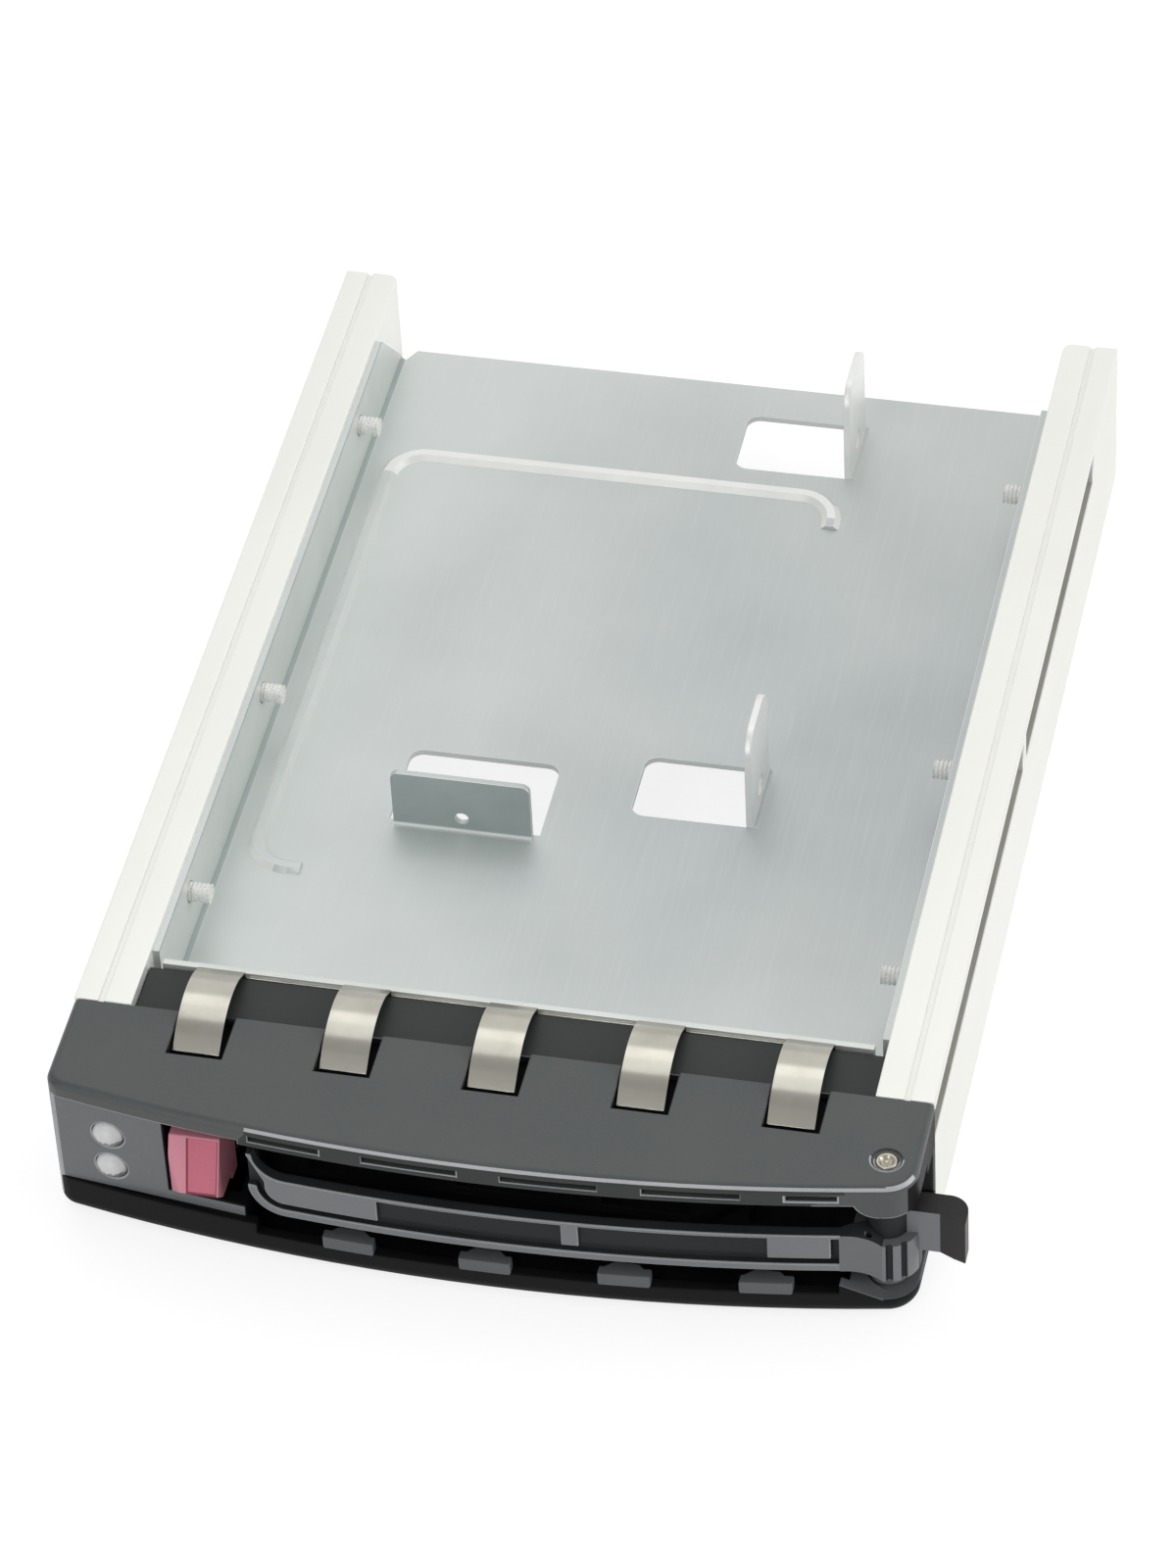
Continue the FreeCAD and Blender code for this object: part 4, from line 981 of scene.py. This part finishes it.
@dataclass
class AdapterPan:
    """Folded pan with broken edges, painted light and painted highlights on its edges, bead, upstand, left
    flange and side tabs, and painted shade on its front tab and in its left flange's bend.
    """

    node: str = "adapter_pan"
    edge: float = 0.12
    sharpest: float = 50.0
    floor_top: float = 13.04
    tab_foot: float = 13.34
    tab_left: float = 21.7
    tab_right: float = 22.9
    bead_rear: float = 127.0
    bead_right: float = 22.5
    bead_top: float = 14.24
    flange: float = -50.0
    upstand: float = 10.0
    bend: float = -48.6
    front_tab: Pair = (52.0, 53.2)
    tilt: float = 0.2

    def build(self) -> Piece:
        """Make the pan and put it on the tray."""
        piece = copy_of(self.node, "folded_pan")
        dress(piece, PAN_ZINC, PAN_PAINTED_LIGHT, PAN_PAINTED_HIGHLIGHT, PAN_SHADE)
        break_edges(piece, self.edge, self.sharpest)
        select_faces(piece, lambda centre, normal: normal.z > self.tilt and self.on_level(centre))
        cut_across(1, (self.bead_rear,))
        leave_edit()
        smooth(piece)
        # Painted light, painted highlights and painted shade on the pan.
        rules = (PAN_PAINTED_LIGHT, self.on_painted_light), (PAN_PAINTED_HIGHLIGHT, self.on_painted_highlight), (PAN_SHADE, self.on_shade)
        paint_faces(piece, *rules)
        return seat(piece, Body.TRAY, "pan_steel", self.node)

    def on_level(self, centre: Vector) -> bool:
        """True at the height of the pressed bead."""
        inside = centre.x < self.bead_right and centre.y > self.upstand
        return inside and self.floor_top < centre.z < self.bead_top

    def on_painted_light(self, centre: Vector, normal: Vector) -> bool:
        """True on the bead's inner slopes, on the upstand's front and on the left flange."""
        slope = self.on_level(centre) and self.tilt < normal.z < 0.98 and normal.x > self.tilt
        flange = centre.x < self.flange and normal.x > FACING
        return slope or flange or centre.y < self.upstand and centre.z > self.floor_top

    def on_painted_highlight(self, centre: Vector, normal: Vector) -> bool:
        """True on the side tabs, on the rear bead's crown and front and on the left bead's outer slope."""
        tab = self.tab_left < centre.x < self.tab_right and centre.z > self.tab_foot
        bead = self.on_level(centre) and normal.z > self.tilt
        rear = centre.y > self.bead_rear and normal.y < 0.15
        return tab or bead and (rear or normal.x < -self.tilt)

    def on_shade(self, centre: Vector, normal: Vector) -> bool:
        """True on the front tab's face and in the left flange's bend."""
        low, high = self.front_tab
        tab = low < centre.y < high and normal.y < -FACING and centre.z > self.tab_foot
        return tab or centre.x < self.bend and normal.x > self.tilt and self.tilt < normal.z < 0.95


@dataclass
class SideRail:
    """Extruded side rail with broken edges under a painted highlight and painted shade in its guide slots.
    """

    side: Side
    edge: float = 0.25
    sharpest: float = 50.0
    inner: float = 52.0
    outer: float = 59.2
    sole: float = 1.0
    cap: float = 23.4

    def build(self) -> Piece:
        """Make the rail and put it on the tray."""
        node = f"{self.side.name.lower()}_rail"
        piece = copy_of(node, f"{node}_bar")
        dress(piece, RAIL_ALUMINIUM, RAIL_HIGHLIGHT, RAIL_SHADE)
        break_edges(piece, self.edge, self.sharpest)
        paint_faces(piece, (RAIL_SHADE, self.in_slot))
        return seat(piece, Body.TRAY, "rail_aluminium", node)

    def in_slot(self, centre: Vector, normal: Vector) -> bool:
        """True on the walls of the guide slots."""
        deep = self.inner < abs(centre.x) < self.outer and abs(normal.y) < 0.5
        return deep and self.sole < centre.z < self.cap


@dataclass
class RailScrews:
    """Screws through one rail, with rounded heads, cross recesses and threaded ends."""

    side: Side
    places: tuple[float, ...]
    node: str
    tip: float = 47.4
    seat_across: float = 53.4
    level: float = 20.7
    head_radius: float = 2.4
    head_height: float = 1.7
    head_round: float = 0.75
    head_sides: int = 32
    head_steps: int = 5
    shank_radius: float = 1.45
    thread_root: float = 1.3
    thread_pitch: float = 0.6
    thread_length: float = 3.6
    shading: float = 35.0
    blade: Triple = (1.0, 3.0, 0.62)

    def build(self) -> Piece:
        """Make the screws and put them on the tray as one piece."""
        first = self.model_screw()
        copies = [first]
        for place in self.places[1:]:
            make_active(first)
            bpy.ops.object.duplicate()
            copies.append(bpy.context.active_object)
            bpy.ops.transform.translate(value=(0.0, (place - self.places[0]) * MM, 0.0))
            bpy.ops.object.transform_apply()
        make_active(first)
        for copy in copies:
            copy.select_set(True)
        if len(copies) > 1:
            bpy.ops.object.join()
        first.name = f"{self.node}_set" if len(copies) > 1 else f"{self.node}_turned"
        first.data.name = first.name
        dress(first, SCREW_STEEL)
        smooth(first, self.shading)
        return seat(first, Body.TRAY, "screw_steel", self.node)

    def model_screw(self) -> Piece:
        """Model one screw at the first place.

        Returns:
            The screw, with its place in its mesh.
        """
        sign = self.side.value
        middle = (self.seat_across + self.head_height / 2) * sign
        deselect()
        bpy.ops.mesh.primitive_cylinder_add(
            vertices=self.head_sides, radius=self.head_radius * MM, depth=self.head_height * MM,
            location=(middle * MM, self.places[0] * MM, self.level * MM), rotation=(0.0, math.pi / 2, 0.0))
        screw = bpy.context.active_object
        bpy.ops.object.transform_apply()
        select_faces(screw, lambda centre, normal: normal.x * sign > FACING)
        bpy.ops.mesh.bevel(offset=self.head_round * MM, segments=self.head_steps, affect="EDGES")
        select_faces(screw, lambda centre, normal: normal.x * sign < -FACING)
        bpy.ops.mesh.inset(thickness=(self.head_radius - self.shank_radius) * MM)
        self.draw_shank(sign)
        leave_edit()
        for turned in (False, True):
            self.cut_recess(screw, turned)
        return screw

    def draw_shank(self, sign: int) -> None:
        """Draw the shank out of the selected face, with a threaded end.

        Args:
            sign: Side of the tray, 1 or -1.
        """
        plain = self.seat_across - self.tip - self.thread_length
        turns = round(self.thread_length / self.thread_pitch)
        place = self.seat_across - plain
        narrowing = self.thread_root / self.shank_radius
        extrude(-plain * sign)
        for step in range(turns * 2):
            extrude(-self.thread_pitch / 2 * sign)
            place -= self.thread_pitch / 2
            ratio = narrowing if step % 2 == 0 else 1.0 / narrowing
            centre = (place * sign * MM, self.places[0] * MM, self.level * MM)
            bpy.ops.transform.resize(value=(1.0, ratio, ratio), center_override=centre)

    def cut_recess(self, screw: Piece, turned: bool) -> None:
        """Cut one blade of the cross recess into the head.

        Args:
            screw: The screw.
            turned: Whether the blade stands upright.
        """
        deep, long, wide = self.blade
        across = (self.seat_across + self.head_height) * self.side.value
        size = (deep * 2, wide, long) if turned else (deep * 2, long, wide)
        deselect()
        bpy.ops.mesh.primitive_cube_add(
            size=MM, location=(across * MM, self.places[0] * MM, self.level * MM), scale=size)
        blade = bpy.context.active_object
        bpy.ops.object.transform_apply()
        make_active(screw)
        bpy.ops.object.modifier_add(type="BOOLEAN")
        recess = screw.modifiers[-1]
        recess.operation = "DIFFERENCE"
        recess.object = blade
        bpy.ops.object.modifier_apply(modifier=recess.name)
        bpy.data.objects.remove(blade)


@dataclass
class PivotPin:
    """Pressed pivot pin with a crowned end."""

    node: str = "pivot_pin"
    edge: float = 0.25
    sharpest: float = 60.0
    edge_steps: int = 3
    face_depth: float = 0.02
    crown: tuple[Pair, ...] = ((0.3, -0.05), (0.2, -0.35), (0.15, 0.0), (0.2, 0.3))

    def build(self) -> Piece:
        """Make the pin and put it on the tray."""
        piece = copy_of(self.node, "pivot_pin_turned")
        dress(piece, PIN_STEEL, PIN_STEEL)
        break_edges(piece, self.edge, self.sharpest, self.edge_steps)
        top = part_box(self.node)[1].z / MM
        select_faces(piece, lambda centre, normal: normal.z > SQUARE and centre.z > top - self.face_depth)
        inset_rings(self.crown)
        smooth(piece)
        return seat(piece, Body.TRAY, "pin_steel", self.node)


@dataclass
class HiddenSpring:
    """Spring behind the lever or the button, which stays as the solid is."""

    node: str

    def build(self) -> Piece:
        """Dress the spring."""
        piece = frame["nodes"][self.node]
        # Near-black painted shade that hides the spring in its hollow.
        dress(piece, SPRING_SHADE)
        return piece


@dataclass(frozen=True)
class Softbox:
    """Square soft light: where it hangs, where it points and its width, in millimetres, and its watts."""

    name: str
    place: Triple
    aim: Triple
    width: float
    power: float

    def hang(self) -> None:
        """Add the light to the scene."""
        data = bpy.data.lights.new(self.name, "AREA")
        data.size = self.width * MM
        data.energy = self.power
        lamp = bpy.data.objects.new(self.name, data)
        lamp.location = Vector(self.place) * MM
        lamp.rotation_mode = "QUATERNION"
        lamp.rotation_quaternion = (Vector(self.aim) - Vector(self.place)).to_track_quat("-Z", "Y")
        bpy.context.scene.collection.objects.link(lamp)


@dataclass
class Studio:
    """Floor, soft lights and the camera at the photograph's place."""

    camera_place: Triple = (171.07, -611.56, 669.98)
    camera_target: Triple = (-2.52, 66.42, 12.0)
    camera_roll: float = 3.37
    camera_reach: Pair = (0.01, 20.0)
    focal_length: float = 154.125
    sensor_width: float = 36.0
    floor_width: float = 3000.0
    floor_drop: float = 0.2
    floor_tone: float = 0.3
    floor_roughness: float = 0.9
    floor_specular: float = 0.1
    floor_glow: float = 0.8
    room_front: float = 0.3
    room_rear: float = 0.75
    lamps: tuple[Softbox, ...] = (
        Softbox("top_softbox", (-100.0, 380.0, 1050.0), (0.0, 20.0, 0.0), 800.0, 1.4),
        Softbox("crest_softbox", (-210.0, -690.0, 830.0), (0.0, 0.0, 20.0), 220.0, 0.9),
        Softbox("rear_softbox", (-260.0, 1000.0, 950.0), (0.0, 60.0, 0.0), 1300.0, 1.2),
        Softbox("front_softbox", (-250.0, -1300.0, 250.0), (0.0, -20.0, 10.0), 1000.0, 6.0),
        Softbox("right_softbox", (1300.0, 100.0, 380.0), (0.0, 60.0, 15.0), 900.0, 8.0),
    )

    def build(self) -> None:
        """Set up everything that isn't part of the object."""
        self.lay_floor()
        self.light_world()
        for lamp in self.lamps:
            lamp.hang()
        self.place_camera()
        bpy.context.scene.view_settings.view_transform = "Standard"

    def lay_floor(self) -> None:
        """Lay a pale floor that shows white to the camera and in reflections, and keeps the shadow."""
        deselect()
        bpy.ops.mesh.primitive_plane_add(
            size=self.floor_width * MM, location=(0.0, 0.0, -self.floor_drop * MM))
        floor = bpy.context.active_object
        floor.name = "floor"
        graph = Graph("floor_white")
        graph.constant("Base Color", (self.floor_tone, self.floor_tone, self.floor_tone))
        graph.constant("Roughness", self.floor_roughness)
        graph.constant("Specular IOR Level", self.floor_specular)
        graph.constant("Emission Color", (1.0, 1.0, 1.0))
        rays = graph.tree.nodes.new("ShaderNodeLightPath")
        seen = rays.outputs["Is Camera Ray"]
        for kind in ("Is Glossy Ray", "Is Transmission Ray"):
            either = graph.tree.nodes.new("ShaderNodeMath")
            either.operation = "MAXIMUM"
            graph.link(seen, either.inputs[0])
            graph.link(rays.outputs[kind], either.inputs[1])
            seen = either.outputs["Value"]
        graph.drive("Emission Strength", graph.span(seen, 0.0, self.floor_glow, start=0.0, end=1.0))
        floor.data.materials.append(graph.material)

    def light_world(self) -> None:
        """Fill the room with soft light that is stronger behind the tray than in front of it."""
        world = bpy.data.worlds.new("room")
        world.use_nodes = True
        nodes = world.node_tree.nodes
        links = world.node_tree.links
        background = nodes["Background"]
        background.inputs["Color"].default_value = (1.0, 1.0, 1.0, 1.0)
        split = nodes.new("ShaderNodeSeparateXYZ")
        span = nodes.new("ShaderNodeMapRange")
        span.inputs["From Min"].default_value = -1.0
        span.inputs["To Min"].default_value = self.room_front
        span.inputs["To Max"].default_value = self.room_rear
        links.new(nodes.new("ShaderNodeTexCoord").outputs["Generated"], split.inputs["Vector"])
        links.new(split.outputs["Y"], span.inputs["Value"])
        links.new(span.outputs["Result"], background.inputs["Strength"])
        bpy.context.scene.world = world

    def place_camera(self) -> None:
        """Put the camera where the photograph was taken from."""
        data = bpy.data.cameras.new("camera")
        data.lens = self.focal_length
        data.sensor_width = self.sensor_width
        data.clip_start, data.clip_end = self.camera_reach
        camera = bpy.data.objects.new("camera", data)
        camera.location = Vector(self.camera_place) * MM
        aim = (Vector(self.camera_target) - Vector(self.camera_place)).to_track_quat("-Z", "Y")
        camera.rotation_mode = "QUATERNION"
        camera.rotation_quaternion = aim @ Quaternion((0.0, 0.0, 1.0), -math.radians(self.camera_roll))
        bpy.context.scene.collection.objects.link(camera)
        bpy.context.scene.camera = camera


def main() -> None:
    """Build the tray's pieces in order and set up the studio."""
    logging.basicConfig(level=logging.INFO)
    parts: list[Part] = [
        BezelMoulding(), PullLever(), ReleaseButton(),
        LightPipe("light_pipe_upper"), LightPipe("light_pipe_lower"),
        ShieldStrip(), AdapterPan(), PivotPin(),
        HiddenSpring("lever_spring"), HiddenSpring("button_spring"),
    ]
    for side in Side:
        name = side.name.lower()
        parts += [
            SideRail(side),
            RailScrews(side, PAN_SCREWS, f"{name}_pan_screws"),
            RailScrews(side, BEZEL_SCREW, f"{name}_bezel_screw"),
        ]
    for part in parts:
        piece = part.build()
        LOG.info("%s is built with %d faces", piece.name, len(piece.data.polygons))
    Studio().build()


if __name__ == "__main__":
    main()
